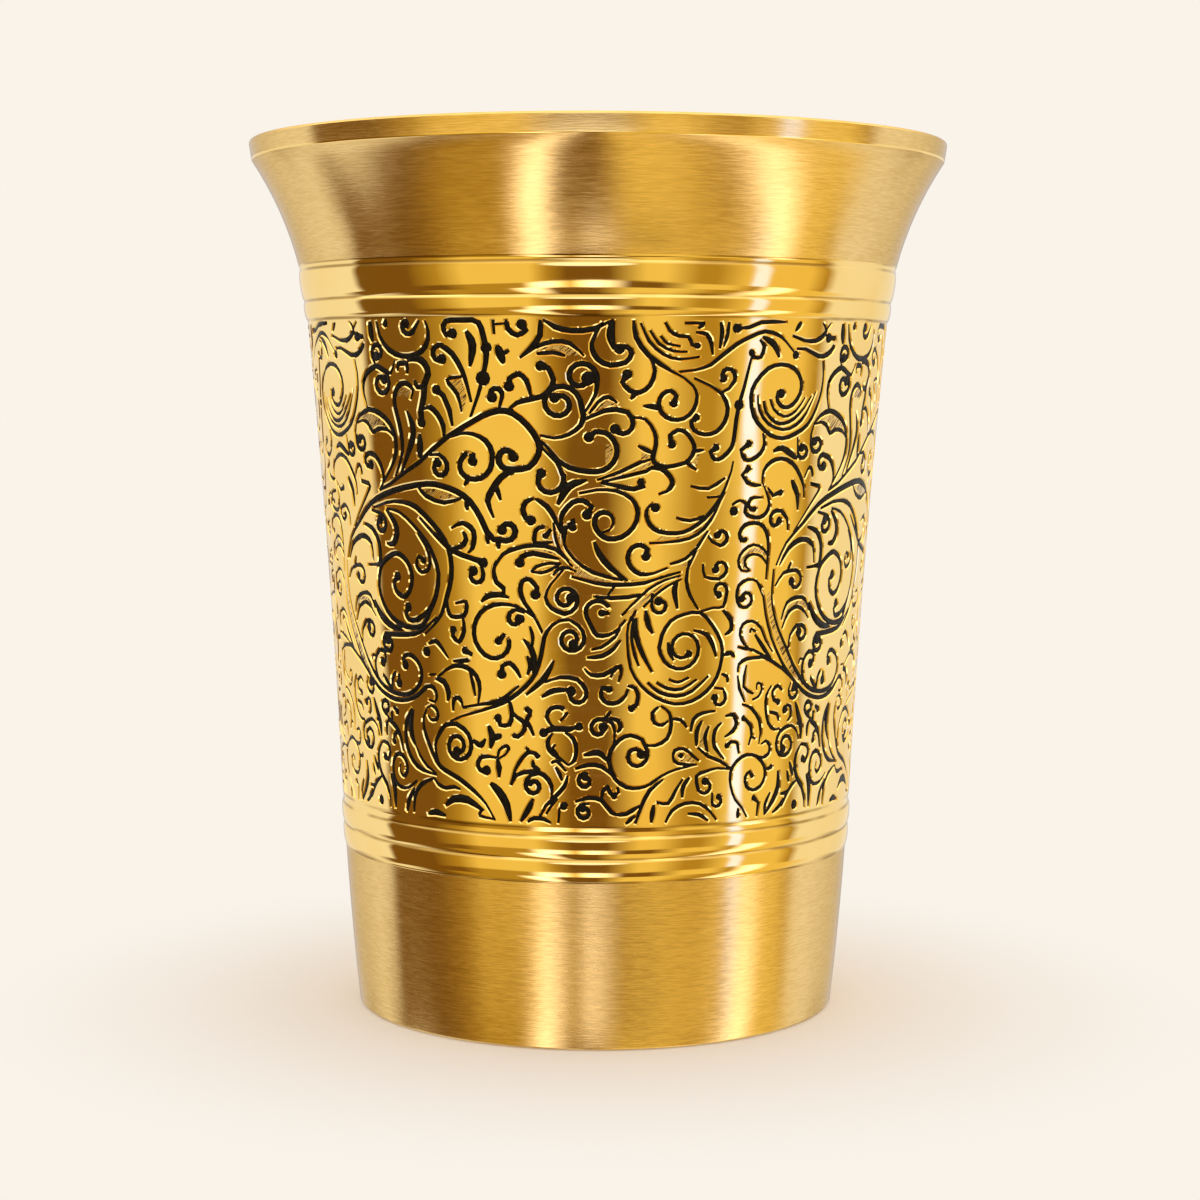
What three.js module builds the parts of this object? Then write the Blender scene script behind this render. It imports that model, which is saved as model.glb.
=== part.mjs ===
// Flared brass drinking tumbler: a turned wall with a lip, two sets of ring beads and a plain band between
// them, and a base disc let into the foot from below and brazed in round its edge.
// Millimetres, +Z up, the origin on the axis at standing height.

import * as THREE from 'three';

// Driving dimensions of the turned wall, from the foot up
const overallHeight = 106;
const baseRadius = 29.6;
const footHeight = 19.9;
const footTopRadius = 31.3;
const footSwell = 0.12;
const lowerRingsHeight = 6.4;
const bandBottomRadius = 31.7;
const bandTopRadius = 35.73;
const bandHollow = 0.33;
const upperRingsHeight = 6.7;
const neckRadius = 36.8;
const flareHeight = 15;
const flareHollow = 0.58;
const rimRadius = 42.8;
const lipHeight = 2.3;
const lipLean = 0.35;
const lipWidth = 2.2;
const wallThickness = 1.6;

// Ring sets: two shallow beads, the lower one first, and a narrow cove that takes up the rest of the set
const lowerFirstBead = 2.7;
const lowerSecondBead = 2.6;
const upperFirstBead = 2.3;
const upperSecondBead = 3.7;
const beadRise = 0.22;
const coveDepth = 0.06;

// Rounded edges
const footRound = 0.4;
const lipRound = 0.5;

// Seat of the base disc in the foot
const footWall = 1.6;
const discRecess = 1.2;
const discThickness = 1.8;
const shoulderWidth = 0.8;
const seatClearance = 0.3;
const seamLeg = 0.75;

// Facets round the axis and steps along each curved stretch
const turnSegments = 64;
const footSteps = 2;
const beadSteps = 4;
const coveSteps = 2;
const bandSteps = 4;
const flareSteps = 6;
const edgeSteps = 2;

// Heights of the stations along the wall
const bandBottom = footHeight + lowerRingsHeight;
const neckHeight = overallHeight - flareHeight;
const bandTop = neckHeight - upperRingsHeight;
const lipCrease = overallHeight - lipHeight;

// Base disc and its seat
const rebateRadius = baseRadius - footWall;
const boreRadius = rebateRadius - shoulderWidth;
const discRadius = rebateRadius - seatClearance;
const discTop = discRecess + discThickness;
const shoulderHeight = discTop + seatClearance;

const brass = { color: 0xd2a24a, roughness: 0.32, metalness: 1 };
const spelter = { color: 0xc9b06a, roughness: 0.45, metalness: 1 };

function station(radius, height) {
  return new THREE.Vector2(radius, height);
}

// Points of a circular arc from start to end whose middle stands off the chord by rise, positive to the
// right of the way it runs, with the start left out
function bow(start, end, rise, steps) {
  const along = end.clone().sub(start);
  const chord = along.length();
  along.divideScalar(chord);
  const off = station(along.y, -along.x);
  const halfAngle = 2 * Math.atan2(2 * Math.abs(rise), chord);
  const radius = chord / (2 * Math.sin(halfAngle));
  const points = [];
  for (let step = 1; step <= steps; step += 1) {
    const angle = halfAngle * ((2 * step) / steps - 1);
    const reach = chord / 2 + radius * Math.sin(angle);
    const lift = Math.sign(rise) * radius * (Math.cos(angle) - Math.cos(halfAngle));
    points.push(start.clone().addScaledVector(along, reach).addScaledVector(off, lift));
  }
  return points;
}

// Quarter round that takes the corner off between two neighbouring stations
function roundCorner(before, corner, after, size) {
  const start = corner.clone().add(before.clone().sub(corner).setLength(size));
  const end = corner.clone().add(after.clone().sub(corner).setLength(size));
  const curve = new THREE.QuadraticBezierCurve(start, corner, end);
  return curve.getPoints(edgeSteps);
}

// Two beads with a cove above them, climbing from start to end on a straight slope
function ringSet(start, end, firstBead, secondBead) {
  const slope = end.clone().sub(start);
  const firstTop = start.clone().addScaledVector(slope, firstBead / slope.y);
  const secondTop = firstTop.clone().addScaledVector(slope, secondBead / slope.y);
  return [
    ...bow(start, firstTop, beadRise, beadSteps),
    ...bow(firstTop, secondTop, beadRise, beadSteps),
    ...bow(secondTop, end, -coveDepth, coveSteps),
  ];
}

function outerProfile() {
  const standingEdge = station(rebateRadius, 0);
  const foot = station(baseRadius, 0);
  const footTop = station(footTopRadius, footHeight);
  const bandFoot = station(bandBottomRadius, bandBottom);
  const bandHead = station(bandTopRadius, bandTop);
  const neck = station(neckRadius, neckHeight);
  const crease = station(rimRadius - lipLean, lipCrease);
  const lipOuter = station(rimRadius, overallHeight);
  const lipInner = station(rimRadius - lipWidth, overallHeight);
  const footEdge = roundCorner(standingEdge, foot, footTop, footRound);
  return [
    ...footEdge,
    ...bow(footEdge[footEdge.length - 1], footTop, footSwell, footSteps),
    ...ringSet(footTop, bandFoot, lowerFirstBead, lowerSecondBead),
    ...bow(bandFoot, bandHead, -bandHollow, bandSteps),
    ...ringSet(bandHead, neck, upperFirstBead, upperSecondBead),
    ...bow(neck, crease, -flareHollow, flareSteps),
    ...roundCorner(crease, lipOuter, lipInner, lipRound),
  ];
}

function innerProfile() {
  const lipOuter = station(rimRadius, overallHeight);
  const lipInner = station(rimRadius - lipWidth, overallHeight);
  const neckBore = station(neckRadius - wallThickness, neckHeight);
  const bandHeadBore = station(bandTopRadius - wallThickness, bandTop);
  const bandFootBore = station(bandBottomRadius - wallThickness, bandBottom);
  const footBore = station(footTopRadius - wallThickness, footHeight);
  const lipEdge = roundCorner(lipOuter, lipInner, neckBore, lipRound);
  return [
    ...lipEdge,
    ...bow(lipEdge[lipEdge.length - 1], neckBore, flareHollow, flareSteps),
    bandHeadBore,
    ...bow(bandHeadBore, bandFootBore, bandHollow, bandSteps),
    footBore,
    station(boreRadius, shoulderHeight),
    station(rebateRadius, shoulderHeight),
    station(rebateRadius, 0),
  ];
}

// A turned piece: the profile is spun about the axis, which stands along Z
function turnedPiece(name, profile, finish) {
  const geometry = new THREE.LatheGeometry(profile, turnSegments);
  const piece = new THREE.Mesh(geometry, new THREE.MeshStandardMaterial(finish));
  piece.name = name;
  piece.rotation.x = Math.PI / 2;
  return piece;
}

function tumblerWall() {
  const profile = [...outerProfile(), ...innerProfile()];
  profile.push(profile[0].clone());
  return turnedPiece('tumbler_wall', profile, brass);
}

function baseDisc() {
  const profile = [
    station(0, discRecess),
    station(discRadius, discRecess),
    station(discRadius, discTop),
    station(0, discTop),
  ];
  return turnedPiece('base_disc', profile, brass);
}

// Fillet of brazing metal in the corner under the disc, all the way round the rebate
function brazeSeam() {
  const top = discRecess - seatClearance;
  const outside = discRadius;
  const profile = [
    station(outside, top - seamLeg),
    station(outside, top),
    station(outside - seamLeg, top),
    station(outside, top - seamLeg),
  ];
  return turnedPiece('braze_seam', profile, spelter);
}

const tumbler = new THREE.Group();
tumbler.add(tumblerWall());
tumbler.add(baseDisc());
tumbler.add(brazeSeam());

export default tumbler;
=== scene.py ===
import math
import bpy
from mathutils import Euler, Matrix, Vector
from mathutils.geometry import delaunay_2d_cdt


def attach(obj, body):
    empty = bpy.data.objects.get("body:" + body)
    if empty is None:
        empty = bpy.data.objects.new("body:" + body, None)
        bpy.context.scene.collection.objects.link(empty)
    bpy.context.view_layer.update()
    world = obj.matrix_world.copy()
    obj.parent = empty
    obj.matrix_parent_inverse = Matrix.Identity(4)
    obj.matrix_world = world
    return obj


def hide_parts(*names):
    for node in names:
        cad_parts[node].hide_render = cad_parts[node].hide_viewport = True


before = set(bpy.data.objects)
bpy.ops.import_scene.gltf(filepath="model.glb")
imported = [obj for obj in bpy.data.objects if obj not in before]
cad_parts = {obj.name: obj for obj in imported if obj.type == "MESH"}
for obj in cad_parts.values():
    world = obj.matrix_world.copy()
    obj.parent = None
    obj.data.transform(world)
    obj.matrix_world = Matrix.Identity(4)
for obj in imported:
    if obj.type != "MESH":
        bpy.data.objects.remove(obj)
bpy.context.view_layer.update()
scene = bpy.context.scene
mm = 0.001
print("frame loaded:", sorted(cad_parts))


class Wire:  # an output socket that can stand in a sum
    def __init__(self, board, socket):
        self.board, self.socket = board, socket

    def __add__(self, other): return self.board.maths("ADD", self, other)
    def __radd__(self, other): return self.board.maths("ADD", other, self)
    def __sub__(self, other): return self.board.maths("SUBTRACT", self, other)
    def __rsub__(self, other): return self.board.maths("SUBTRACT", other, self)
    def __mul__(self, other): return self.board.maths("MULTIPLY", self, other)
    def __rmul__(self, other): return self.board.maths("MULTIPLY", other, self)
    def __truediv__(self, other): return self.board.maths("DIVIDE", self, other)
    def __rtruediv__(self, other): return self.board.maths("DIVIDE", other, self)


class Board:  # one node tree and the one way of adding a node to it
    def __init__(self, tree):
        self.tree = tree
        tree.nodes.clear()

    def plug(self, socket, value):
        if isinstance(value, Wire):
            self.tree.links.new(value.socket, socket)
        elif isinstance(value, (tuple, list)) and len(value) == 3 and socket.type == "RGBA":
            socket.default_value = (*value, 1.0)
        else:
            socket.default_value = value

    def node(self, kind, settings=None, plugs=None, out=0):
        made = self.tree.nodes.new(kind)
        for key, value in (settings or {}).items():
            if key == "stops":
                ramp = made.color_ramp
                while len(ramp.elements) < len(value):
                    ramp.elements.new(1.0)
                for stop, (place, colour) in zip(ramp.elements, value):
                    stop.position = place
                    stop.color = (*colour, 1.0)
            else:
                setattr(made, key, value)
        for key, value in (plugs or {}).items():
            self.plug(made.inputs[key], value)
        return made if out is None else Wire(self, made.outputs[out])

    def maths(self, operation, *values):
        return self.node("ShaderNodeMath", {"operation": operation}, dict(enumerate(values)))

    def mix(self, share, first, second):
        return self.node("ShaderNodeMix", {"data_type": "RGBA"}, {0: share, 6: first, 7: second}, 2)

    def between(self, value, low, high, start=0.0, end=1.0):
        return self.node("ShaderNodeMapRange", {"interpolation_type": "SMOOTHSTEP"},
                         {0: value, 1: low, 2: high, 3: start, 4: end})


# outline of the turned wall, millimetres from the axis and from the table
wall = dict(height=106.0, baseRadius=29.6, footHeight=19.9, footTop=31.3, footSwell=0.12, footRound=0.4,
            bandFoot=31.7, bandHead=35.73, bandHollow=0.33, neck=36.8, flare=15.0, flareHollow=0.58,
            rim=42.78, lipHeight=2.3, lipLean=0.35, lipWidth=2.2, lipRound=0.5, thickness=1.6,
            lowerBeads=(2.7, 2.6), upperBeads=(2.3, 3.7), beadRise=0.22, beadFullness=3.6, coveDepth=0.06,
            edgeWidth=0.26, edgeRise=0.04, footWall=1.6, shoulder=0.8, shoulderHeight=3.3)
band = dict(bottom=26.3, top=84.3)
satinFace, polishFace, landFace, bevelFace, floorFace, leafFace = range(6)


def bow(start, end, rise, steps):  # arc standing off its chord, to the right of its run
    (r0, z0), (r1, z1) = start, end
    chord = math.hypot(r1 - r0, z1 - z0)
    ar, az = (r1 - r0) / chord, (z1 - z0) / chord
    half = 2 * math.atan2(2 * abs(rise), chord)
    radius = chord / (2 * math.sin(half))
    points = []
    for k in range(1, steps + 1):
        turn = half * (2 * k / steps - 1)
        reach = chord / 2 + radius * math.sin(turn)
        lift = math.copysign(radius * (math.cos(turn) - math.cos(half)), rise)
        points.append((r0 + ar * reach + az * lift, z0 + az * reach - ar * lift))
    return points


def roundOff(before, corner, after, size, steps=4):  # curve that takes a corner off
    def towards(other):
        far = math.hypot(other[0] - corner[0], other[1] - corner[1])
        return (corner[0] + (other[0] - corner[0]) * size / far, corner[1] + (other[1] - corner[1]) * size / far)
    a, b = towards(before), towards(after)
    return [tuple((1 - t) ** 2 * a[k] + 2 * t * (1 - t) * corner[k] + t * t * b[k] for k in (0, 1))
            for t in (n / steps for n in range(steps + 1))]


def fullBead(start, end, rise, steps=10):  # bead with steep sides
    far = math.dist(start, end)
    outR, outZ = (end[1] - start[1]) / far, (start[0] - end[0]) / far
    points = []
    for k in range(1, steps + 1):
        s = -math.cos(math.pi * k / steps)
        lift = rise * (1 - abs(s) ** wall["beadFullness"])
        share = (s + 1) / 2
        r, z = (a + (b - a) * share for a, b in zip(start, end))
        points.append((r + outR * lift, z + outZ * lift))
    return points


def ringSet(start, end, beads):  # two beads and a cove above them, on a straight slope
    rise = end[1] - start[1]
    stops = [tuple(a + (b - a) * share for a, b in zip(start, end))
             for share in (beads[0] / rise, (beads[0] + beads[1]) / rise)]
    return fullBead(start, stops[0], wall["beadRise"]) + fullBead(stops[0], stops[1], wall["beadRise"]) \
        + bow(stops[1], end, -wall["coveDepth"], 4)


def edgeBead(before, corner, after):  # the thin bright burr that the tool leaves along an edge
    ends = []
    for other in (before, after):
        far = math.dist(other, corner)
        ends.append(tuple(c + (o - c) * wall["edgeWidth"] / 2 / far for c, o in zip(corner, other)))
    return [ends[0]] + bow(ends[0], ends[1], wall["edgeRise"], 6)


def bandRadius(z):
    t = (z - band["bottom"]) / (band["top"] - band["bottom"])
    return wall["bandFoot"] + (wall["bandHead"] - wall["bandFoot"]) * t - 4 * wall["bandHollow"] * t * (1 - t)


def bandSlope(z):
    return (bandRadius(z + 0.05) - bandRadius(z - 0.05)) / 0.1


def beadValleys():  # heights of the creases below, between and above the beads
    low, high = wall["footHeight"], band["top"]
    (lower, upper), (lowerNext, upperNext) = zip(wall["lowerBeads"], wall["upperBeads"])
    return [low, low + lower, low + lower + lowerNext, band["bottom"],
            high, high + upper, high + upper + upperNext, wall["height"] - wall["flare"]]


def wallRows():  # closed outline as runs of points, each run with its face kind
    rebate = wall["baseRadius"] - wall["footWall"]
    footTop = (wall["footTop"], wall["footHeight"])
    bandFoot = (wall["bandFoot"], band["bottom"])
    bandEnd = (wall["bandHead"], band["top"])
    neckHeight = wall["height"] - wall["flare"]
    neck = (wall["neck"], neckHeight)
    crease = (wall["rim"] - wall["lipLean"], wall["height"] - wall["lipHeight"])
    lipOut, lipIn = (wall["rim"], wall["height"]), (wall["rim"] - wall["lipWidth"], wall["height"])
    neckIn = (wall["neck"] - wall["thickness"], neckHeight)
    headIn = (wall["bandHead"] - wall["thickness"], band["top"])
    bandIn = (wall["bandFoot"] - wall["thickness"], band["bottom"])
    footIn = (wall["footTop"] - wall["thickness"], wall["footHeight"])
    footEdge = roundOff((rebate, 0), (wall["baseRadius"], 0), footTop, wall["footRound"])
    lipEdge = roundOff(lipOut, lipIn, neckIn, wall["lipRound"])
    footRun = [(rebate, 0.0)] + footEdge + bow(footEdge[-1], footTop, wall["footSwell"], 5)
    lowerRun = ringSet(footTop, bandFoot, wall["lowerBeads"])
    footBead = edgeBead(footRun[-2], footTop, lowerRun[0])
    flareRun = [neck] + bow(neck, crease, -wall["flareHollow"], 8)
    lipRun = roundOff(crease, lipOut, lipIn, wall["lipRound"])
    creaseBead = edgeBead(flareRun[-2], crease, lipRun[0])
    return [
        (satinFace, footRun[:-1] + [footBead[0]]),
        (polishFace, footBead + lowerRun),
        (landFace, [bandFoot, bandEnd]),
        (polishFace, [bandEnd] + ringSet(bandEnd, neck, wall["upperBeads"])),
        (satinFace, flareRun[:-1] + [creaseBead[0]]),
        (polishFace, creaseBead),
        (satinFace, [creaseBead[-1]] + lipRun + lipEdge),
        (satinFace, [lipEdge[-1]] + bow(lipEdge[-1], neckIn, wall["flareHollow"], 6) + [headIn]
         + bow(headIn, bandIn, wall["bandHollow"], 4) + [footIn]),
        (satinFace, [footIn, (rebate - wall["shoulder"], wall["shoulderHeight"]), (rebate, wall["shoulderHeight"]),
                     (rebate, 0.0)]),
    ]


# finishes
def newFinish(name):
    finish = bpy.data.materials.new(name)
    finish.use_nodes = True
    return finish, Board(finish.node_tree)


def closeFinish(board, plugs):
    shader = board.node("ShaderNodeBsdfPrincipled", None, plugs)
    board.node("ShaderNodeOutputMaterial", None, {"Surface": shader}, None)


def roundAxis(board):  # angle round the axis, distance from it and height, from the piece's own place
    place = board.node("ShaderNodeTexCoord", None, None, "Object")
    parts = board.node("ShaderNodeSeparateXYZ", None, {0: place}, None)
    x, y, z = (Wire(board, parts.outputs[k]) for k in range(3))
    angle = board.maths("ARCTAN2", x, 0.0 - y)
    reach = board.maths("SQRT", x * x + y * y)
    return place, angle, reach, z


def noiseAt(board, place, scale, detail=2.0, roughness=0.5):
    return board.node("ShaderNodeTexNoise", None,
                      {"Vector": place, "Scale": scale, "Detail": detail, "Roughness": roughness})


def spot(board, x, y, z):
    return board.node("ShaderNodeCombineXYZ", None, {0: x, 1: y, 2: z})


def drawnOut(board, around, scales, detail=2.0, roughness=0.5):  # noise scaled round, off and along the axis
    place = spot(board, *(part * scale for part, scale in zip(around, scales)))
    return noiseAt(board, place, 1.0, detail, roughness)


def bumped(board, height, strength, depth, under=None):
    plugs = {"Strength": strength, "Distance": depth, "Height": height}
    if under is not None:
        plugs["Normal"] = under
    return board.node("ShaderNodeBump", None, plugs)


# the dark valley colour and its share are painted shade, laid in the creases between the beads
polishSettings = dict(colour=(0.95, 0.68, 0.26), warm=(0.93, 0.62, 0.20), edge=(0.93, 0.86, 0.70), cloudScale=55.0,
                      roughness=0.045, haze=0.05, smear=(1.2, 12.0, 780.0),
                      ripple=(1.6, 0.0, 420.0), rippleStrength=0.10, rippleDepth=0.0001,
                      waveScale=80.0, waveDepth=0.00022, paintedValleyShade=(0.30, 0.16, 0.03), paintedValleyShadeShare=0.8,
                      patches=(3.2, 0.0, 160.0), valleyReach=(0.07, 0.26))


def polishedBrass():
    finish, board = newFinish("polished_brass")
    place, angle, reach, z = roundAxis(board)
    around = (angle, reach, z)
    cloud = noiseAt(board, place, polishSettings["cloudScale"], 3.0)
    smear = drawnOut(board, around, polishSettings["smear"], 3.0)
    tint = board.mix(board.between(cloud, 0.35, 0.7), polishSettings["colour"], polishSettings["warm"])
    off = 1.0  # height off the nearest valley between the beads
    for valley in beadValleys():
        off = board.maths("MINIMUM", board.maths("ABSOLUTE", z - valley * mm), off)
    nearValley = board.between(off, *(w * mm for w in polishSettings["valleyReach"]), 1.0, 0.0)
    # painted shade: the creases between the beads are darkened in patches, in place of the shade and dark reflections
    # there
    patch = drawnOut(board, around, polishSettings["patches"])
    valleyShadeMask = nearValley * board.between(patch, 0.36, 0.56)
    tint = board.mix(valleyShadeMask * polishSettings["paintedValleyShadeShare"], tint, polishSettings["paintedValleyShade"])
    rough = polishSettings["roughness"] + board.between(smear, 0.45, 0.75) * polishSettings["haze"]
    ripple = drawnOut(board, around, polishSettings["ripple"], 1.0)
    bump = bumped(board, ripple, polishSettings["rippleStrength"], polishSettings["rippleDepth"])
    wave = noiseAt(board, place, polishSettings["waveScale"], 0.0)  # slow waves left by hand polishing
    bump = bumped(board, wave, 1.0, polishSettings["waveDepth"], bump)
    closeFinish(board, {"Base Color": tint, "Metallic": 1.0, "Roughness": rough, "Normal": bump,
                        "Specular Tint": polishSettings["edge"]})
    return finish


satinSettings = dict(colour=(0.92, 0.64, 0.265), dark=(0.76, 0.50, 0.18), edge=(0.66, 0.59, 0.485), cloudScale=40.0,
                     fine=(20.0, 1600.0, 8600.0), broad=(9.0, 700.0, 3900.0), lines=0.55, lineDepth=0.00003,
                     roughness=0.21, spread=0.14, anisotropy=0.88, brushTurn=0.25)


def satinBrass():  # brush lines round the axis
    finish, board = newFinish("satin_brass")
    place, angle, reach, z = roundAxis(board)
    fine = drawnOut(board, (angle, reach, z), satinSettings["fine"], 2.0, 0.6)
    broad = drawnOut(board, (angle, reach, z), satinSettings["broad"])
    streak = fine * 0.7 + broad * 0.3
    cloud = noiseAt(board, place, satinSettings["cloudScale"])
    light = board.between(streak * 0.8 + cloud * 0.2, 0.34, 0.66)
    tint = board.mix(light, satinSettings["dark"], satinSettings["colour"])
    rough = satinSettings["roughness"] + (streak - 0.5) * satinSettings["spread"]
    bump = bumped(board, streak, satinSettings["lines"], satinSettings["lineDepth"])
    closeFinish(board, {"Base Color": tint, "Metallic": 1.0, "Roughness": rough, "Normal": bump,
                        "Specular Tint": satinSettings["edge"], "Anisotropic": satinSettings["anisotropy"],
                        "Anisotropic Rotation": satinSettings["brushTurn"]})
    return finish


chasedSettings = dict(colour=(0.86, 0.58, 0.20), shade=(0.16, 0.08, 0.02), roughness=0.26, radius=0.0337,
                      across=5200.0, along=420.0, lean=(0.75, 0.66), cutStrength=0.5, cutDepth=0.00006)


def chasedBrass():  # hatched leaves between the lines
    finish, board = newFinish("chased_brass")
    place, angle, reach, z = roundAxis(board)
    over = angle * chasedSettings["radius"]
    level, rise = chasedSettings["lean"]
    run, side = over * level + z * rise, z * level - over * rise
    hatch = noiseAt(board, spot(board, run * chasedSettings["along"], side * chasedSettings["across"], 0.0), 1.0, 1.0)
    cut = board.between(hatch, 0.40, 0.52)
    tint = board.mix(cut, chasedSettings["shade"], chasedSettings["colour"])
    bump = bumped(board, cut, chasedSettings["cutStrength"], chasedSettings["cutDepth"])
    closeFinish(board, {"Base Color": tint, "Metallic": 1.0, "Roughness": chasedSettings["roughness"], "Normal": bump})
    return finish


lacSettings = dict(colour=(0.004, 0.003, 0.002), dust=(0.014, 0.009, 0.005), grainScale=2400.0, grain=0.4,
                   grainDepth=0.00004, roughness=0.42, spread=0.3, shine=0.10)


def blackLac():
    finish, board = newFinish("black_lac")
    place = board.node("ShaderNodeTexCoord", None, None, "Object")
    grain = noiseAt(board, place, lacSettings["grainScale"], 3.0, 0.6)
    tint = board.mix(board.between(grain, 0.45, 0.75), lacSettings["colour"], lacSettings["dust"])
    rough = lacSettings["roughness"] + (grain - 0.5) * lacSettings["spread"]
    bump = bumped(board, grain, lacSettings["grain"], lacSettings["grainDepth"])
    closeFinish(board, {"Base Color": tint, "Roughness": rough, "Normal": bump,
                        "Specular IOR Level": lacSettings["shine"]})
    return finish


discSettings = dict(colour=(0.86, 0.60, 0.25), dark=(0.66, 0.42, 0.15), roughness=0.30, spread=0.15, pitch=9500.0,
                    rings=0.4, ringDepth=0.00004, cloudScale=70.0)


def turnedDisc():  # rings left by the turning tool, round the axis
    finish, board = newFinish("turned_disc_brass")
    place, angle, reach, z = roundAxis(board)
    ring = noiseAt(board, spot(board, reach * discSettings["pitch"], angle * 0.3, 0.0), 1.0)
    cloud = noiseAt(board, place, discSettings["cloudScale"], 3.0)
    light = board.between(cloud * 0.6 + ring * 0.4, 0.35, 0.65)
    tint = board.mix(light, discSettings["dark"], discSettings["colour"])
    rough = discSettings["roughness"] + (ring - 0.5) * discSettings["spread"]
    bump = bumped(board, ring, discSettings["rings"], discSettings["ringDepth"])
    closeFinish(board, {"Base Color": tint, "Metallic": 1.0, "Roughness": rough, "Normal": bump})
    return finish


seamSettings = dict(colour=(0.78, 0.62, 0.30), dark=(0.42, 0.30, 0.15), lumpScale=650.0, lumps=0.7,
                    lumpDepth=0.0002, roughness=0.42, spread=0.3)


def brazedSeam():
    finish, board = newFinish("braze_metal")
    place = board.node("ShaderNodeTexCoord", None, None, "Object")
    lump = noiseAt(board, place, seamSettings["lumpScale"], 3.0, 0.6)
    tint = board.mix(board.between(lump, 0.35, 0.65), seamSettings["dark"], seamSettings["colour"])
    rough = seamSettings["roughness"] + (lump - 0.5) * seamSettings["spread"]
    bump = bumped(board, lump, seamSettings["lumps"], seamSettings["lumpDepth"])
    closeFinish(board, {"Base Color": tint, "Metallic": 1.0, "Roughness": rough, "Normal": bump})
    return finish


polished, satin, chased, lac = polishedBrass(), satinBrass(), chasedBrass(), blackLac()
print("finishes made")


# engraving: lines drawn on one flat repeat of the band, x along it and z up, millimetres
engraving = dict(repeat=60.0, repeats=4, swell=0.1334, columns=36, grid=2.2, depth=0.22, lacTop=0.11, bevel=0.26,
                 lowest=26.75, highest=83.8, stemHalf=0.31, lowerStemHalf=0.27, bladeHalf=0.46, ballRadius=0.60,
                 bold=1.04, fine=0.80, fineSpan=(1.0, 31.0), fineRamp=9.0,
                 taperIn=(0.45, 2.2), taperOut=(0.25, 3.0), curlIn=0.12, bladeSpan=(0.12, 0.8), bladeFullness=0.8,
                 leastHalf=0.03, leastBlade=0.06, leastBall=0.08, dotHalf=0.3, dotLength=0.05, ballRoom=(0.3, 0.35),
                 bend=0.48, sag=0.039, spacing=0.12, clear=0.25, nearby=0.3, merge=1e-4,
                 lacSink=0.02, lacSide=0.03, seamReach=1e-3, weld=0.0015, crisp=21)
lines, leaves = [], []


def smoothRun(points, least=1):  # a smooth curve through the points, in steps so short that its sag stays small
    if len(points) < 2:
        return points
    ends = [tuple(2 * a - b for a, b in zip(points[0], points[1]))] + points \
        + [tuple(2 * a - b for a, b in zip(points[-1], points[-2]))]
    run = []
    for a, b, c, d in zip(ends, ends[1:], ends[2:], ends[3:]):
        turn = math.atan2(d[1] - b[1], d[0] - b[0]) - math.atan2(c[1] - a[1], c[0] - a[0])
        bend = abs(math.remainder(turn, 2 * math.pi))
        bySag = math.ceil(math.sqrt(math.dist(b, c) * bend / (8 * engraving["sag"])))
        count = max(least, bySag, round(bend / engraving["bend"]))
        for k in range(count):
            t = k / count
            run.append(tuple(0.5 * (2 * q + (r - p) * t + (2 * p - 5 * q + 4 * r - s) * t * t
                                    + (3 * q - p - 3 * r + s) * t ** 3) for p, q, r, s in zip(a, b, c, d)))
    return run + [points[-1]]


def curlRun(last, curl):  # winds in from the last point, turns above zero run against the clock
    cx, cz, radius, turns = curl
    away = max(radius * 1.001, math.hypot(last[0] - cx, last[1] - cz))
    sense = math.copysign(1.0, turns)
    start = math.atan2(last[1] - cz, last[0] - cx) + sense * math.acos(radius / away)
    total = abs(turns) * 2 * math.pi
    run, turned = [], 0.0
    while turned < total:
        now = radius * math.exp(-engraving["curlIn"] * turned)
        run.append((cx + now * math.cos(start + sense * turned), cz + now * math.sin(start + sense * turned)))
        turned += 2 * math.acos(1 - engraving["sag"] / now)
    return run


def pairs(flat):
    return [(flat[k], flat[k + 1]) for k in range(0, len(flat), 2)]


def weight(x):  # how boldly a line is cut, finer right of the middle
    start, end = engraving["fineSpan"]
    share = min(1.0, max(0.0, min(x - start, end - x) / engraving["fineRamp"]))
    return engraving["bold"] + (engraving["fine"] - engraving["bold"]) * share


def addLine(points, widths, ball):
    inside = [(x, min(max(z, engraving["lowest"]), engraving["highest"])) for x, z in points]
    kept = [(inside[0], widths[0])]
    for point, half in zip(inside[1:], widths[1:]):
        if math.dist(point, kept[-1][0]) > engraving["spacing"]:
            kept.append((point, half))
    if len(kept) > 1:
        lines.append(([point for point, half in kept], [half * weight(point[0]) for point, half in kept], ball))


def stem(*flat, curl=None, ball=None, half=None, knob=None):
    ends = smoothRun(pairs(flat))
    if curl:
        ends = ends + curlRun(ends[-1], curl)
        ball = ball or ends[-1]
    half = half or engraving["stemHalf"]
    count = len(ends) - 1
    least, gain = engraving["taperIn"]
    widths = [half * min(1.0, least + gain * k / max(count, 1)) for k in range(count + 1)]
    if ball and not curl:
        ends, widths = ends + [ball], widths + [half]
    elif not ball:
        least, gain = engraving["taperOut"]
        widths = [w * min(1.0, least + gain * (count - k) / max(count, 1)) for k, w in enumerate(widths)]
    knob = knob or engraving["ballRadius"]
    addLine(ends, widths, (ball, knob * min(1.0, weight(ball[0]))) if ball else None)


def blade(*flat, half=None):  # short stroke, broadest in the middle
    points = pairs(flat)
    run = smoothRun(points, math.ceil(5 / (len(points) - 1)))
    count = len(run) - 1
    half = half or engraving["bladeHalf"]
    start, span = engraving["bladeSpan"]
    shares = [math.sin(math.pi * (start + span * k / count)) ** engraving["bladeFullness"] for k in range(count + 1)]
    addLine(run, [max(engraving["leastBlade"], half * share) for share in shares], None)


def leaf(*flat):
    points = pairs(flat)
    leaves.append(smoothRun(points + points[:1])[:-1])


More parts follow.
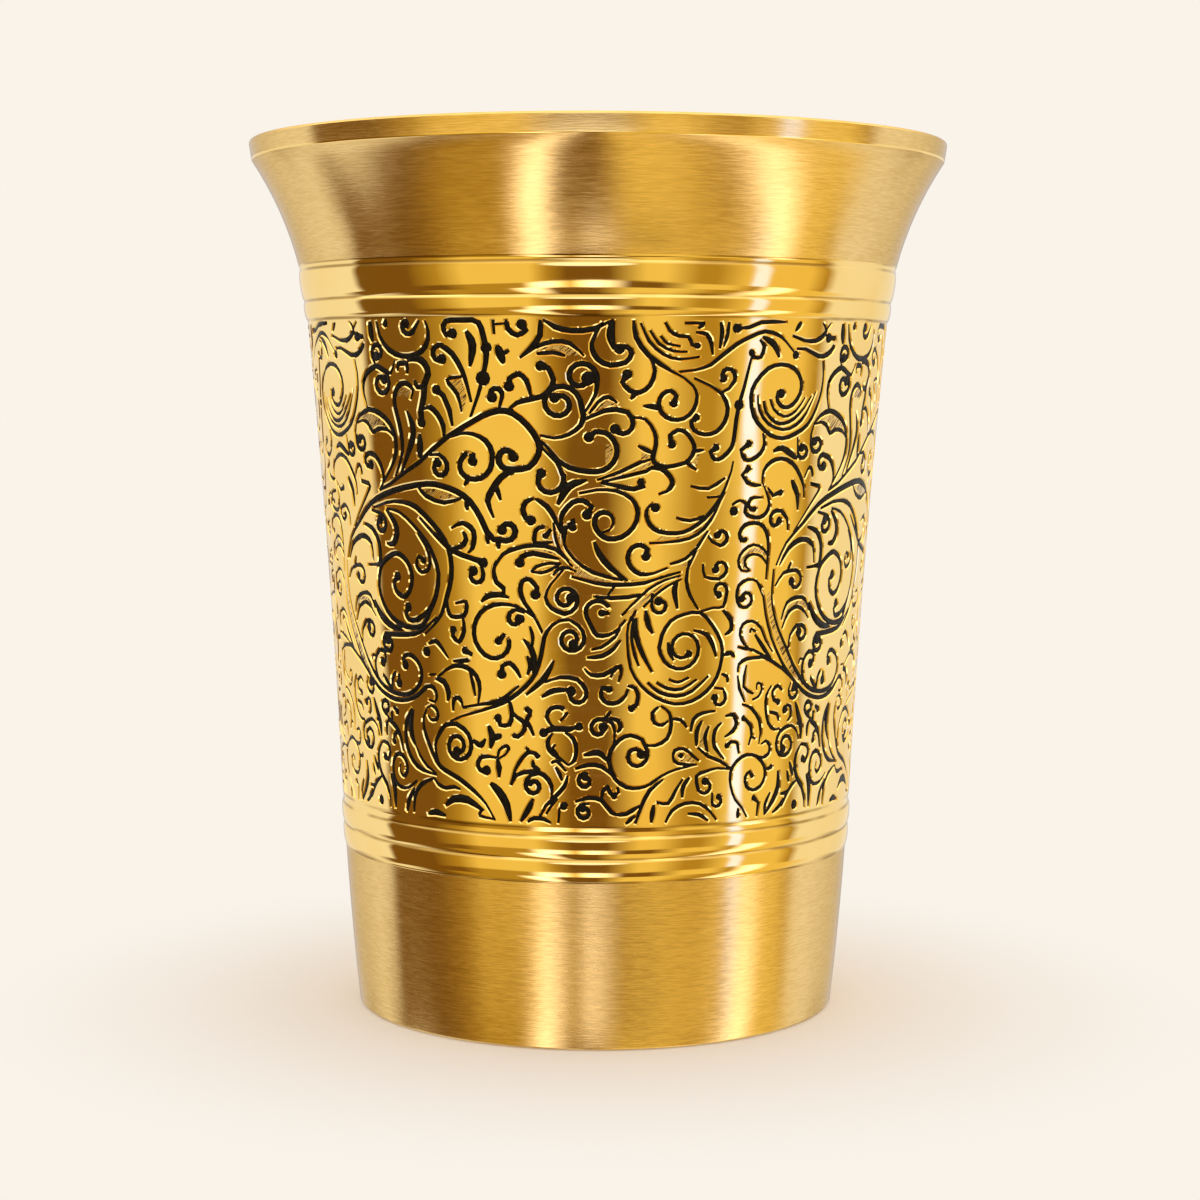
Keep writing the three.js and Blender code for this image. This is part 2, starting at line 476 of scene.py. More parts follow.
def dot(x, z, radius=None):  # a ball on a very short line
    half, length = engraving["dotHalf"], engraving["dotLength"]
    lines.append(([(x - length, z), (x + length, z)], [half, half], ((x, z), radius or engraving["ballRadius"])))


# upper left: the border, the sprays and the long stem with its curls
blade(-28.2, 84.3, -28.1, 82.5, -27.9, 81.4)
stem(-27, 84.3, -26.6, 82.1, -25.2, 80.5, -23.2, 79.8, -21.1, 80, -19.7, 81, -19.3, 82.5, -19.7, 84.1)
stem(-20.5, 83.9, -21.1, 83, curl=(-22.2, 83.2, 1, -.6))
blade(-25.8, 84.1, -25.4, 83.1)
stem(-29.8, 73.8, -30.3, 75.5, -30.2, 76.9, -29.3, 78, -27.7, 78.7, -26.6, 78.3, -25.2, 77.9, -24.4, 79.3)
stem(-26.6, 78.3, curl=(-26.9, 76.7, 1.5, -1.1))
stem(-27.7, 78.8, -28.2, 79.7, curl=(-27.2, 80.3, 1, -.9))
stem(-25.5, 66, -24.3, 68.2, -24, 70, -24.3, 72.1, -24.8, 73.9, -24.8, 75.3, -24.1, 76.4, -23, 76.75, -21.9, 76,
     -22.3, 74.9)
leaf(-24.5, 75.2, -24, 76.2, -23, 76.5, -22.1, 75.9, -22.6, 75.2, -23.4, 75.3)
stem(-24.5, 66.4, -23.2, 68.7, -22.3, 70.7, -22.3, 72.1, -23, 73.6, half=.4)
blade(-21.4, 68.2, -21.25, 71)
stem(-22.5, 79.3, -21, 79.5, -20, 78.9, -19.6, 77.8, -20.2, 76.6, -20.4, 75.2, -20.9, 73.6, ball=(-20.9, 72.3),
     half=.4)
stem(-20.2, 76.4, -21.2, 76.3, -21.6, 77.1, half=.3)
stem(-22.6, 77.8, -22.6, 78.9, -23.9, 78.9, -24, 78.1)
stem(-16.7, 71.9, -17, 73.7, -17.7, 75.3, ball=(-18.6, 76))
stem(-17.9, 70.6, -17.9, 71.9, -18.6, 73.2, -19.6, 74, -20.4, 73.8)
stem(-14.2, 74.6, -14.6, 76.4, -15.2, 78.2, -16.3, 80, -17.7, 81, curl=(-18, 80, 1, .6))
stem(-15.2, 77.5, -17.1, 77.1, -15.9, 75.5, -15.4, 73.5, half=.24)
leaf(-15.2, 77.3, -16.8, 76.9, -15.8, 75.4, -15.3, 73.6, -14.6, 75.6)
stem(-28.6, 64.4, -26.4, 65.2, -23.6, 66.7, -21.5, 67.8, -19.5, 69.3, -17.4, 70.7, -15.2, 71.9, -12.9, 73.1, -10.9,
     73.7, -9.3, 73.4, -7.7, 72.1, -6.5, 70.3, -6.5, 68.8, -7.6, 67.4, -9.3, 67.1, curl=(-10.1, 68.4, 1.25, -.75),
     half=.36)
stem(-17, 70.7, -15.6, 71.1, -14.1, 71.05, -12.6, 70.3, -11.85, 68.8, -12.2, 67.1, -13.3, 66.1, -14.7, 66, -15.8,
     66.7, -15.9, 67.9, -15.1, 68.8, -14.2, 68.7, ball=(-14.3, 68))
stem(-14.7, 66, -15.1, 65.7, -15.5, 65.2)
stem(-20, 68.6, -18.7, 68.7, curl=(-18.7, 67.2, 1.2, -.9))
stem(-10.9, 73.9, -10.5, 75.3, curl=(-11.3, 75.5, .85, .65))
stem(-14.4, 72.9, -13.4, 75.3, -12.7, 77.3, -12.3, 79.1, -12.2, 80.7, -12.5, 82.1, -13, 83.5, -14.5, 84.1, -16.3,
     84, -17.3, 83.2, -17, 82.2, ball=(-16.2, 82.3))
dot(-12.7, 77.3, .85)
dot(-12.2, 80.7, .65)
blade(-14.5, 82.6, -13.8, 81, -14.2, 78.6)
stem(-11.3, 84, -11.2, 82.2, half=.38)
stem(-11.3, 83.3, -9.9, 83.4, half=.34)
stem(-9.8, 84, -9.6, 82.8, -8.6, 82.1, -7.7, 82.6, ball=(-8.1, 83.3))
blade(-10.9, 81, -10.6, 80, -10.2, 78.9)
blade(-10.5, 79.9, -9.6, 80.4, half=.25)
stem(-10, 73.6, -8.8, 74.6, -7.2, 75, -6.1, 75.3, -5.3, 75.9, -4.7, 77.1, -5.3, 78.5, ball=(-6.1, 78.7))
stem(-7.2, 75.3, -7.7, 77.1, -8.6, 77.8, -9.6, 77.3, ball=(-9.7, 76.4))
stem(-6.5, 70.5, -5.6, 69.8, -4.5, 68.45, -3.1, 67.4, -.9, 66.95, .7, 67.1, 1.8, 68, 2.2, 69.3, 1.8, 70.5, .9, 71.3,
     -.2, 71.4, ball=(-.9, 70.8))
leaf(1, 70, 1.7, 69.9, 1.8, 69, 1.5, 68, 1, 67.7, .9, 68.7)
stem(-6.3, 71, -4.7, 70.7, -3.1, 71.1, -1.8, 72.1, -1.5, 73.2, curl=(-4.1, 74.5, 2.3, 1.35))
stem(-1.4, 73.5, -.2, 75.5, 0, 77.3, curl=(-1.8, 77.5, 1.75, 1), knob=.8)
stem(-1.6, 72.6, -.9, 73, .7, 73.7, 2.1, 73.9, 3.3, 73.6, curl=(2.7, 72.2, 1.3, -.6))
stem(-.9, 73.4, .2, 74.8, 1.2, 75.3, 2.2, 74.6, half=.24)
leaf(-.7, 73.4, .2, 74.6, 1.2, 75, 2, 74.4, .7, 74)
stem(-6.3, 69.8, -4.5, 68, -3.8, 66.6, curl=(-5.4, 66, 1.8, -.75))
stem(-8, 67.1, -9.3, 67.1, -10.9, 66.2, -12, 64.8, -12.6, 63.5, -11.9, 61.6, half=.38)
blade(-12, 65.2, -11.5, 65, -11, 63.6, half=.3)

# middle left: the second stem and the wound scroll
stem(22.7, 56, 24.1, 58.5, 26.8, 60.7, 29.5, 62.8, 32.3, 63.9, 35.9, 64.8, 39.5, 65.3, 41.5, 65.1, 43.5, 64.5, 45.2,
     63.4, 46.5, 61.5, 47.2, 60, 48, 59.2, curl=(49.7, 60.2, 1.15, .8), half=.34)
stem(-22, 65, -20.8, 63.9, -18.2, 63.2, -15.7, 63.9, half=.26)
leaf(-22, 65, -20.8, 64.1, -18.2, 63.4, -15.9, 64.1, -18.3, 64.7, -20.3, 65)
blade(-15.3, 63.6, -15.2, 62.4, half=.3)
blade(-12.8, 60, -12.7, 58.6, half=.3)
blade(-11.5, 59.1, -11.4, 58.1, half=.28)
stem(-30, 62.3, -27.3, 63, -24.5, 63.1, -22.3, 62.5, -20, 60.7, -18.4, 58.9, -17.7, 57, -17.7, 54.7, -18.4, 52.5,
     -19.3, 50.4, -20.6, 49, -22, 47.9)
stem(-27.5, 62.3, -25.2, 61.9, -23, 60.5, -21.1, 58.7, -20.1, 57, -19.5, 55, -20, 52.5, -21.1, 50.6, -22.3, 48.9,
     -25, 48.6, -27.5, 49.5, -29.1, 51.1, -29.8, 53.1, -29.3, 55.2, -28.2, 56.3, -26.1, 57.1, -24.3, 56.2, -23.6,
     54.5, -24.1, 52.9, -25.2, 52.1, -26.5, 52.7, -26.8, 53.8, ball=(-26.1, 54.4))
stem(-22, 61.4, -19.5, 59.3, -17.3, 57.7, -15, 57, ball=(-13.4, 56.5))
blade(-31, 51.4, -30.2, 50.2, -29.1, 49.2, -27.3, 48.4, -25.5, 48.25)
stem(-20, 50, -21.6, 48.8, -23.4, 47.9, -26.4, 47.6, -29.1, 47.5, curl=(-28.5, 46.4, 1.1, .9), knob=.7)
stem(-20.2, 52, -21.4, 50.6, -23.2, 49.5, -24.5, 49.5, -25, 50.2, ball=(-24.5, 50.9))
stem(-22.4, 59.6, -21.3, 58.2, -20.7, 56.8, -20.9, 55.6, -22, 55.1, -22.8, 55.9, -22.4, 56.9, ball=(-21.7, 56.5),
     half=.24, knob=.45)
stem(-30.5, 62, -28.6, 61.6, curl=(-28.7, 60.4, 1.1, -.9))
blade(-27.5, 62.1, -26.1, 60.7, -25.8, 59.4, -26.6, 58.2, -27.8, 58.2)
stem(-32.3, 60.3, -30.5, 59.8, -29.3, 58.2, -29.3, 56, -30.2, 55.6, -32, 55.5, half=.36)
stem(-36.8, 56, -35.5, 57.8, -33.9, 58.7, -32.3, 58.8, -30.9, 58, -30.6, 56)
stem(-17.45, 60.3, -15.9, 60.95, -14.5, 60, -14.7, 58.2, -15.4, 57.5)
stem(-15.9, 60, -15.5, 59.1, -16.3, 58.2, -17.7, 58)
blade(-4.4, 63.2, -3.1, 65.3, -1.1, 66)
stem(-4, 60, -4, 61.4, -3.8, 62.3, -2.7, 63.5, -1.5, 63.7, -.6, 63, ball=(-1.1, 62.1))
stem(-4, 60, -4.7, 61.6, -5.6, 63, -7, 63.9)
stem(-7.1, 63.9, -8, 63.5, -8.4, 62.6, -8.1, 61.7, ball=(-7.5, 61.4))
stem(-12, 56, -10.9, 57.5, -9.3, 58.2, -7.2, 58.6, -4.7, 58.2, -2.7, 56.2, half=.26)
stem(-4.3, 57.1, -7.2, 57.7, -8.6, 57.3, ball=(-8.9, 56.6))
leaf(-9.2, 57.9, -7.2, 58.4, -4.8, 58, -3.4, 57, -4.4, 57.2, -7.2, 57.9, -8.6, 57.6)
stem(-5, 59, -7, 58.9, -6.9, 60.3, -6.1, 60.7, -5.3, 60.3, ball=(-5.8, 59.7), half=.26, knob=.4)
stem(-3.7, 58.7, -3.6, 60.5, -2.7, 61.4, ball=(-2.7, 60.7), knob=.5)
stem(-2, 64.5, 0, 64.9, 2.1, 64.8, 3.9, 63.9, 4.6, 62.3, 4.1, 60.7, 2.8, 59.6, 1.3, 59.4, .3, 60, -.25, 61, -.05,
     62, .75, 62.4, 1.6, 62.05, 1.85, 61.2, 1.4, 60.4, .6, 60.1)
blade(-.3, 59.1, .3, 57.7, 1.6, 56.1, 3.6, 54.6, half=.38)
stem(-4.9, 61.2, -4.7, 59.6, -4.2, 58.2, -3.2, 57, half=.18)
stem(-3.9, 60, -3.6, 58.6, -2.9, 57.5, -1.7, 56.3, -.6, 55.6, half=.18)
leaf(-4.7, 61, -4.5, 59.6, -4, 58.2, -3.1, 57, -2, 55.9, -1.9, 56.4, -3, 57.6, -3.7, 58.7, -4, 60)
stem(-7.6, 55.6, -6.9, 56.2, -5.5, 56.6, -4.1, 56.6, half=.2)
stem(-7.6, 55.6, -6.4, 55.5, -5.2, 55.9, -4.1, 56.6, half=.2)
stem(-5, 55.2, -4.3, 56, -3.2, 56.1, -2.3, 55.7, half=.22)

# upper right: fan, forked twigs and the wound scroll
stem(-6.1, 84.1, -6.1, 82.1, -7.2, 80.6, -8.4, 79.6, half=.34)
stem(-5.8, 84, -4.5, 83, -2.7, 82.6, -.4, 82.8, 1.7, 83.9)
stem(-8.4, 79.6, -6.5, 80.8, -4.7, 81.4, -2.9, 81.2, -1.4, 79.8, half=.26)
stem(-6.5, 80, -4.7, 80.2, -3.4, 79.8, half=.24)
leaf(-7.2, 80.3, -6, 80.9, -4.7, 81.2, -3, 81, -1.9, 80, -3.4, 79.9, -4.7, 80.3, -6.5, 80.1)
stem(.5, 83.5, -.6, 81.2, 0, 79.5, 1.4, 78.8, 3, 79.1, curl=(2.8, 80.2, .9, .6))
blade(1.6, 83.8, 1.4, 82.1, 1.8, 80.5)
stem(3.8, 83.8, 4.1, 81.9, 5.5, 79.9, 8, 78.2, 9.4, 77.5)
stem(4.6, 83.5, 5.5, 81.5, 7.1, 80.05, 8.9, 79.5, 11.2, 79.8, half=.22)
blade(5.6, 82.7, 6.6, 81.2, 8.2, 80.4, 9.8, 80.35, half=.22)
blade(6.75, 82.1, 7.5, 81.25, 9, 80.95, half=.2)
stem(7.2, 83.6, 7.7, 82.7, 8.7, 82.1, 9.8, 82, 10.3, 81.1, ball=(10.9, 81), half=.27, knob=.45)
stem(9.4, 83.5, 11.5, 83.5, 10.9, 82.9, half=.26)
stem(10.7, 82.5, 11.9, 82.3, 12.5, 81.2, 12.7, 80)
blade(13.5, 83.7, 13.7, 82.5, 13.5, 80.7, half=.3)
blade(14.5, 83.7, 14.3, 82.1, 13.9, 80.9, half=.28)
stem(8.9, 78.1, 10.7, 78.3, 12.5, 78.9, 13.9, 80, 15.5, 81.2, 17.3, 82.1, 19.1, 82.7, 21, 82.3, 22.1, 81.6, 24.1,
     79.8)
blade(18.8, 82.1, 20.4, 81.3, 21.3, 79.8, half=.48)
dot(23.7, 80.1, .5)
stem(15.5, 83, 16.9, 83.1, 18.5, 83.7, 21.9, 83.9)
dot(15.5, 83, .55)
stem(5.7, 79.6, 6.2, 78.2, 5.7, 76.6, 4.6, 75.8, 3.5, 76, 2.7, 76.9, ball=(3.2, 77.8))
blade(4.3, 75.9, 3.6, 75, half=.3)
stem(9.4, 77.5, 10.5, 76.6, 11.05, 75.4, 10.7, 73.9, 9.6, 72.9, 8.2, 72.8, 7.1, 73.5, 6.7, 74.6, 7.1, 75.6, 8, 76,
     8.7, 75.4, ball=(8.4, 74.6))
blade(7.1, 73.9, 6.2, 74.2, 5, 74.3, half=.38)
stem(10.7, 77.4, 12.5, 76.6, 14.1, 75.5, 14.8, 74.1, 14.5, 72.5, 13.5, 71.4, 12.1, 71.1, 10.8, 71.6, 10.5, 72.5,
     ball=(11, 73))
stem(13.7, 75.7, 14.8, 76.2, 15.5, 77.1, curl=(14.6, 77.7, .95, .7))
stem(18.5, 81.75, 19.1, 81, 18.7, 79.8, 17.8, 79.8, ball=(17.5, 80.3), knob=.5)
stem(17.5, 79.8, 17.3, 78.9, 16.75, 76.4, 16.2, 74.4, 15.95, 72.8, 15.8, 71, 15.5, 69.6, 14.4, 68.5, 13.5, 68.3,
     12.9, 69.1, ball=(13.5, 69.6))
dot(16.2, 74.4, .6)
stem(3.9, 73, 5.3, 72.8, 6.3, 71.4, 6.5, 70, 6.2, 68.5, 6.6, 67.8, 7.8, 67.5, 9.4, 67.8, 10.3, 68.2, 11, 69.4, 10.6,
     70.5, 9.8, 71.4, 8.9, 71.6, 8.1, 71, ball=(8.3, 70))
blade(6.3, 69, 5.4, 69.4, 4.5, 69.9, half=.3)
leaf(4.8, 69.5, 5.4, 69.2, 6.2, 68.7, 6, 68.2, 5.2, 67.9, 4.6, 67.9, 4.9, 68.6)
leaf(10.3, 68.3, 10.9, 69.1, 11.8, 69.3, 11.4, 68.6, 11.2, 67.5, 10.6, 67.8)
blade(10.8, 69.2, 12.1, 69.4, half=.3)
blade(10, 68, 11.3, 67.1, half=.3)
stem(0, 66, 2.5, 66.9, 4.8, 68, 6.2, 68.4, half=.24)
stem(.5, 65.8, 3, 66.4, 5.5, 67, 6.6, 67.7, half=.24)
leaf(1, 66.1, 2.5, 66.7, 4.8, 67.8, 6.1, 68.2, 6.2, 67.7, 5.3, 67.1, 3, 66.6)
stem(5.6, 67.3, 7.1, 67.3, 8.2, 66.4, 8.5, 65.5, 7.8, 64.7, 6.9, 64.4, half=.36)
stem(.5, 65.7, 2.5, 65.3, 4.1, 65, 5.2, 65.3, ball=(4.9, 65.8), knob=.5)
stem(6.3, 63.4, 5.75, 62.9, 5.6, 62, 6, 61, 7.1, 60.2, 9.1, 60, 10.7, 60.4, 12.5, 61.6, 13.9, 63.2, 14.9, 65, 15.6,
     66.9, 15.8, 68.1)
dot(6.6, 62.9, .55)
stem(10.7, 65.3, 12.8, 65, 14.9, 66.2, half=.26)
stem(12.7, 64, 14.4, 64.1, half=.24)
stem(9.1, 61.75, 10.7, 61.4, 12.5, 61.9, half=.26)
stem(6, 58.9, 8.2, 59, 10.7, 59.4, 12.5, 60.5, 13.9, 62.5, 14.9, 64.6, half=.26)
leaf(6.4, 59.2, 8.2, 59.2, 10.6, 59.6, 12.4, 60.7, 13.7, 62.6, 12.6, 61.3, 10.8, 60.2, 9.1, 59.8, 7.4, 59.7)
stem(13, 60.3, 11.6, 58.2, 10.7, 56, half=.26)
stem(8.5, 56.5, 10.3, 57.1, 11.9, 58.5, half=.26)
leaf(8.8, 56.5, 10.5, 56.3, 11.4, 58, 10.4, 57)
stem(12.9, 59.8, 13.5, 59, 14.6, 58.5, curl=(14.7, 59.5, .9, .7))
stem(8.2, 56.1, 6.6, 55.5, 5, 55.4, 3.9, 56.2, 3.5, 57.3, 4, 58.4, 5, 58.7, 5.8, 58.2, ball=(5.6, 57.4))
stem(21.2, 54.4, 21.3, 57, 21.2, 59.1, 20.4, 60.6, 19, 61, 17.7, 60.7, 17.1, 59.8, 17.4, 59, ball=(17.9, 59.1),
     knob=.42)
stem(21.3, 57.1, 20.6, 58, 19.1, 58.5, 17.7, 57.8, 17.1, 56.7, 17.6, 55.6, 18.8, 55.5, half=.22)
stem(21.2, 56.2, 20.4, 57.1, 19.1, 57.4, 18.2, 57, 18, 56.3, 18.7, 55.6, half=.22)
leaf(21.1, 56.9, 20.5, 57.8, 19.1, 58.3, 17.8, 57.6, 17.3, 56.7, 17.7, 55.8, 18.2, 55.8, 17.8, 56.4, 18, 57.2, 19.1,
     57.6, 20.4, 57.3)
stem(15.95, 63.1, 16.9, 63.6, 17.8, 63.2, 17.7, 62.3, 18.5, 61.75, 19.8, 61.6, 20.7, 62.1, 21.1, 63.2, 20.5, 64.6,
     20, 65.5)
dot(16.2, 62.4, .55)
stem(20, 63.9, curl=(18.8, 63.1, .8, .6), knob=.45)
stem(19.8, 65.3, 18.9, 65.3, 17.8, 65.7, 17.1, 66.5, ball=(17.8, 67.2), knob=.55)
stem(19.9, 65.5, 20, 66.9, 21, 67.9, 22.5, 68.3, 24.3, 67.8, 25.7, 66.4, 26.5, 65, 26.6, 63.7)
stem(20.7, 65, 21.6, 64.1, ball=(22.7, 64.4), knob=.5)
stem(19.6, 71.2, 19.9, 70, 19.4, 68.9, 18.2, 68.2, 17.3, 68.3, 16.75, 69.25, ball=(17.7, 70))
stem(28.3, 79.5, 28.6, 78, 28.5, 76, 27.7, 73.9, 26.4, 72.1, 24.5, 71.1, 22.5, 70.6, 20.7, 71, 19.4, 71.9, 18.2,
     73.2, 17.7, 75.3, 18.2, 76.9, 19.8, 78.5, 21.6, 79, 23.6, 78.6, 24.8, 77.3, 24.8, 75.7, 23.7, 74.4, 22.4,
     74.15, 21.4, 74.9, 21.3, 75.8, ball=(21.9, 75.7), knob=.7)
stem(18.6, 75.5, 18.9, 73.9, 20.3, 72.3, 22.5, 71.6, 24.5, 72.1, 26.1, 73.5, 27.5, 76, half=.24)
blade(19.4, 74.9, 19.8, 73.7, 21.2, 72.5, 22.5, 72.3, 24.1, 72.8, 25.7, 74.1, 26.8, 75.5, half=.28)
blade(20.3, 75.1, 20.9, 74, 22.5, 73.1, 24.3, 73.7, 25.7, 75.3, half=.22)
stem(23.75, 80.8, 25.2, 80.8, 27.5, 80, 29.1, 80.2, 30.2, 81.1, 30.3, 82.1, ball=(29.1, 82.1))
stem(23, 82.3, 25, 81.75, 26.8, 81.75, 28, 82.3, 28.5, 83, 27.8, 83.9)
stem(28.5, 83, 29.3, 83.9)
blade(24.3, 83.9, 23.4, 82.8, half=.34)
stem(27.6, 72.2, 28.6, 73.1, 30.5, 73.7, 32.5, 73.2, 34.1, 72.1, 34.9, 70.5, 34.8, 68.7, 33.9, 67.1, 32.5, 65.5,
     31.4, 64.4)
stem(27.6, 72.2, 28.9, 72.4, 30, 72.1, 30.9, 71.1, 32, 71.5, 33.6, 71.4, 34.5, 70.7, half=.26)
leaf(28, 72.4, 28.8, 73, 30.5, 73.5, 32.4, 73, 33.9, 71.9, 34.4, 71, 33.6, 71.6, 32, 71.7, 30.9, 71.4, 30, 72.3,
     28.9, 72.6)
stem(27.6, 72.2, 27.2, 71, curl=(28.4, 69.9, 1.1, .9))
stem(24.9, 70.7, 25.1, 69.1, curl=(26, 69.1, .95, .9))
blade(21.25, 69.1, 22.5, 69.5, 24.1, 68.8, 25.1, 68.2)
stem(32, 64.8, 32.4, 66, 32, 67.3, 31.1, 68.3, 30, 68.6, curl=(29.7, 67.7, .9, .7))
stem(26.5, 66, 27, 66.9, 27.6, 67.2, 28, 66.4, 27.8, 65.3, 29.5, 65, 29.1, 64.1, 26.8, 61.6, 25.2, 59.8, half=.26)
blade(24.4, 65.8, 24.8, 65.2, 25.5, 64.1, 25.7, 62.3)
stem(24.2, 60, 24, 61.4, 23, 62.3, curl=(22.2, 61.3, 1, .8))

engraving["stemHalf"] = engraving["lowerStemHalf"]  # finer lines in the lower half
# lower right: the broad hatched stem and what hangs from it
stem(22.3, 55.6, 22.2, 53.4, 22.5, 51.1, 23.6, 48.6, 25, 46.5, 26.6, 44.2, 27.8, 42.9, 29.3, 41.7, 31, 40.9, 33,
     40.55, 34.8, 40.7, 36.2, 41.4, 37.1, 42.5, 37.2, 43.7, 36.6, 44.7, 35.5, 45.3, 34.5, 45.2, 34.1, 44.7,
     ball=(34.5, 44.1))
stem(20, 54, 20.9, 52.5, 21.4, 50.4, 22.5, 47.7, 24.5, 44.7, 26, 43.1, 27.3, 42, 28.8, 41, 30.4, 40.3, 32.4, 39.85,
     34.6, 40, 36.4, 40.7, 38, 41.8, 39.1, 41.7, 39.5, 40.8, 39.1, 40.1, 38.2, 40.3, half=.26)
leaf(21.3, 52.4, 21.8, 50.4, 22.9, 47.9, 24.8, 44.9, 26.4, 43.2, 28.9, 41.2, 30.6, 40.6, 29.2, 41.5, 27.7, 42.7,
     26.3, 44.1, 24.7, 46.3, 23.3, 48.4, 22.2, 51, 21.9, 53)
stem(17.7, 43.8, 17.8, 44.7, 18.9, 45.3, 20.7, 45.4, 21.8, 45.3, 24.5, 44, 26.1, 42.9, 27.5, 41.8, half=.28)
blade(20, 48.1, 21.4, 46.5, 23, 44.7, half=.34)
stem(22.7, 53.6, 23.9, 55, 25.5, 55.3, curl=(26.1, 54.1, 1.2, -.8))
blade(24.6, 55.3, 25.2, 56.3, half=.26)
stem(24.2, 48.6, 25.2, 50.4, 26.8, 51, 28.2, 50.4, 29.1, 49.5, half=.26)
stem(24, 49.6, 24.8, 51.5, 26.8, 52.1, 28.2, 51.8, 29, 50.4, half=.26)
leaf(24.3, 49.2, 25.2, 50.6, 26.8, 51.2, 28.2, 50.6, 28.7, 50.4, 28.1, 51.6, 26.8, 51.9, 25, 51.3)
stem(25.5, 46.1, 25.7, 47.7, 26.8, 48.8, curl=(27.8, 47.8, 1, -.9))
stem(30.1, 41.4, 28.95, 42.1, 28.4, 43.4, 28.6, 44.6, 29.5, 45.5, 30.6, 45.3, 30.7, 44.4, ball=(30.1, 44.1))
stem(27.6, 44.2, 27.9, 44.8, 28.6, 44.7, half=.18)
blade(30, 42.7, 30.8, 41.9, 31.7, 41, half=.3)
stem(31.8, 40.9, 31.9, 42.2, 32.5, 43, 33.2, 42.8, ball=(33.2, 41.9))
stem(37.8, 39.3, 38.5, 39.6, 39.3, 39.3, 39.6, 38.6, 39.2, 38, 38.4, 38, 38, 38.5, half=.22)
stem(15.3, 51.1, 16.4, 50, 16.5, 48.8, 15.7, 48.25, half=.36)
stem(15.5, 45.9, 16.6, 46.1, 17.2, 45.6, half=.34)
stem(15.3, 43.8, 16.2, 43.4, 16.3, 42.7)
stem(14.4, 42.2, 15.7, 42, curl=(15.2, 40.9, .95, -.7))
stem(20.7, 53.4, 19.8, 54.3, 18.5, 54.5, 17.3, 53.8, 17.1, 52.7, curl=(18.4, 52.3, 1.2, 1))
stem(19.6, 46.2, 18.4, 47.1, 17.8, 48.2, 18.1, 49.3, 19.4, 49.7, 20.8, 48.9, 21.6, 47.4, 22.9, 45.9, half=.24)
stem(19.2, 48.3, 19.4, 48.8, 20.1, 48.4, half=.2)
stem(17.5, 46.8, 19.8, 46.3, 22.5, 45.2, half=.26)
stem(17.7, 43.4, 18, 42, 18.9, 40.2)
stem(18.9, 44.6, 18.6, 42.2, 20.2, 41.2, half=.22)
stem(20, 40.5, 20.9, 40.8, 21.4, 41.6, 21.2, 42.3, 20.6, 42.3, 20.6, 41.6, half=.2)
stem(18.5, 40.1, 20, 39.5, 21.2, 38.1, 21.5, 36.5, 21.3, 35.2)
stem(19.7, 35.2, 20.1, 36.3, 19.9, 37.5, 19.2, 38.2, ball=(18.8, 38.4), knob=.42)
blade(20.1, 36.2, 20.8, 35.9, half=.2)
stem(20.8, 34, 22, 33.6, 23, 34, 23.1, 35, 22.5, 35.5, 21.7, 35.2)
stem(22.4, 32.2, 23.1, 32.2, ball=(23.5, 32.4), knob=.4)
stem(23, 42, 22.2, 40.9, 22.2, 39.3, 22.7, 37.7, 23.75, 36.8, 24.8, 36.8)
stem(24.9, 41.3, 24.1, 41.9, 23.2, 41.3, 23.4, 40.4, ball=(24.2, 40), knob=.5)
stem(22.6, 38.9, 24.1, 38.6, 24.5, 37.7)
stem(25.7, 39.5, 26.5, 39.3, 26.6, 38.1, 26, 37.6)
dot(25.5, 39, .5)
stem(26.4, 42.2, 26, 41.3, curl=(27, 41, .9, .8))
stem(28.4, 35.2, 28, 36.3, 26.9, 37, 25.6, 36.8, curl=(25.9, 34.9, 1.95, 1.4))
blade(27.5, 39.7, 28.2, 38.1, 28.8, 36.8, 28.95, 35.2)
blade(27.9, 37.1, 28.7, 37.3, half=.25)
stem(28.95, 34.6, 30.3, 34.4, 30.7, 33.5, 30.2, 32.5, ball=(29.6, 32.8), knob=.5)
stem(28.95, 34.5, 28.1, 33.4, 28, 32, 28.6, 30.6, 29.7, 29.5, 30.3, 27.9, 30.4, 26.9, half=.34)
blade(30.6, 30.9, 31.3, 29.5, 31.4, 26.9)
stem(25.7, 27.5, 26.6, 28.9, 27.6, 29.9, 28.6, 30.4)
blade(24.8, 31.8, 24.9, 30, 24.1, 28.4, 22.7, 26.8)
blade(23.6, 29.4, 22.8, 28.1, 22.7, 26.8, half=.3)
blade(26.9, 32.7, 27.3, 31.8, 27.7, 30.9, half=.32)
blade(26.5, 31.7, 26.9, 30.3, half=.3)
dot(28.2, 27.5, .6)
blade(25.4, 29, 26.6, 29.1, 27.6, 29.8, half=.26)
blade(24.1, 26.9, 25.3, 27.6, 26, 28.5, half=.3)

# lower left: crescents and vines down to the lower border
stem(-28.9, 37.4, -30, 38, -30.6, 38.8, -30.2, 39.5, -29.3, 39.4, -29.2, 38.6, ball=(-29.7, 38.3), knob=.4)
blade(-29.8, 35.4, -29.8, 36.6, -29.3, 37.4, half=.3)
stem(-29.4, 37.3, -28.6, 37, -27.6, 36.4, -26.9, 35.2, -26.6, 33.8, half=.34)
stem(-26.9, 35.5, -27.6, 36, -28.3, 35.6, ball=(-28.3, 34.9), knob=.45)
stem(-28.5, 37.1, -28.6, 38.2, -28.1, 38.9, ball=(-27.5, 38.5), knob=.45)
stem(-24.6, 39.1, -25.6, 37.9, -26, 36.2, -25.8, 34.4, -24.8, 32.8, -23.2, 31.9, -20.9, 31.5, half=.3)
blade(-24.5, 38.9, -25, 37.3, -24.9, 35.9, -24.3, 34.7)
stem(-24.3, 34.8, -23.6, 33.6, -22.4, 32.4, -21, 31.7, half=.2)
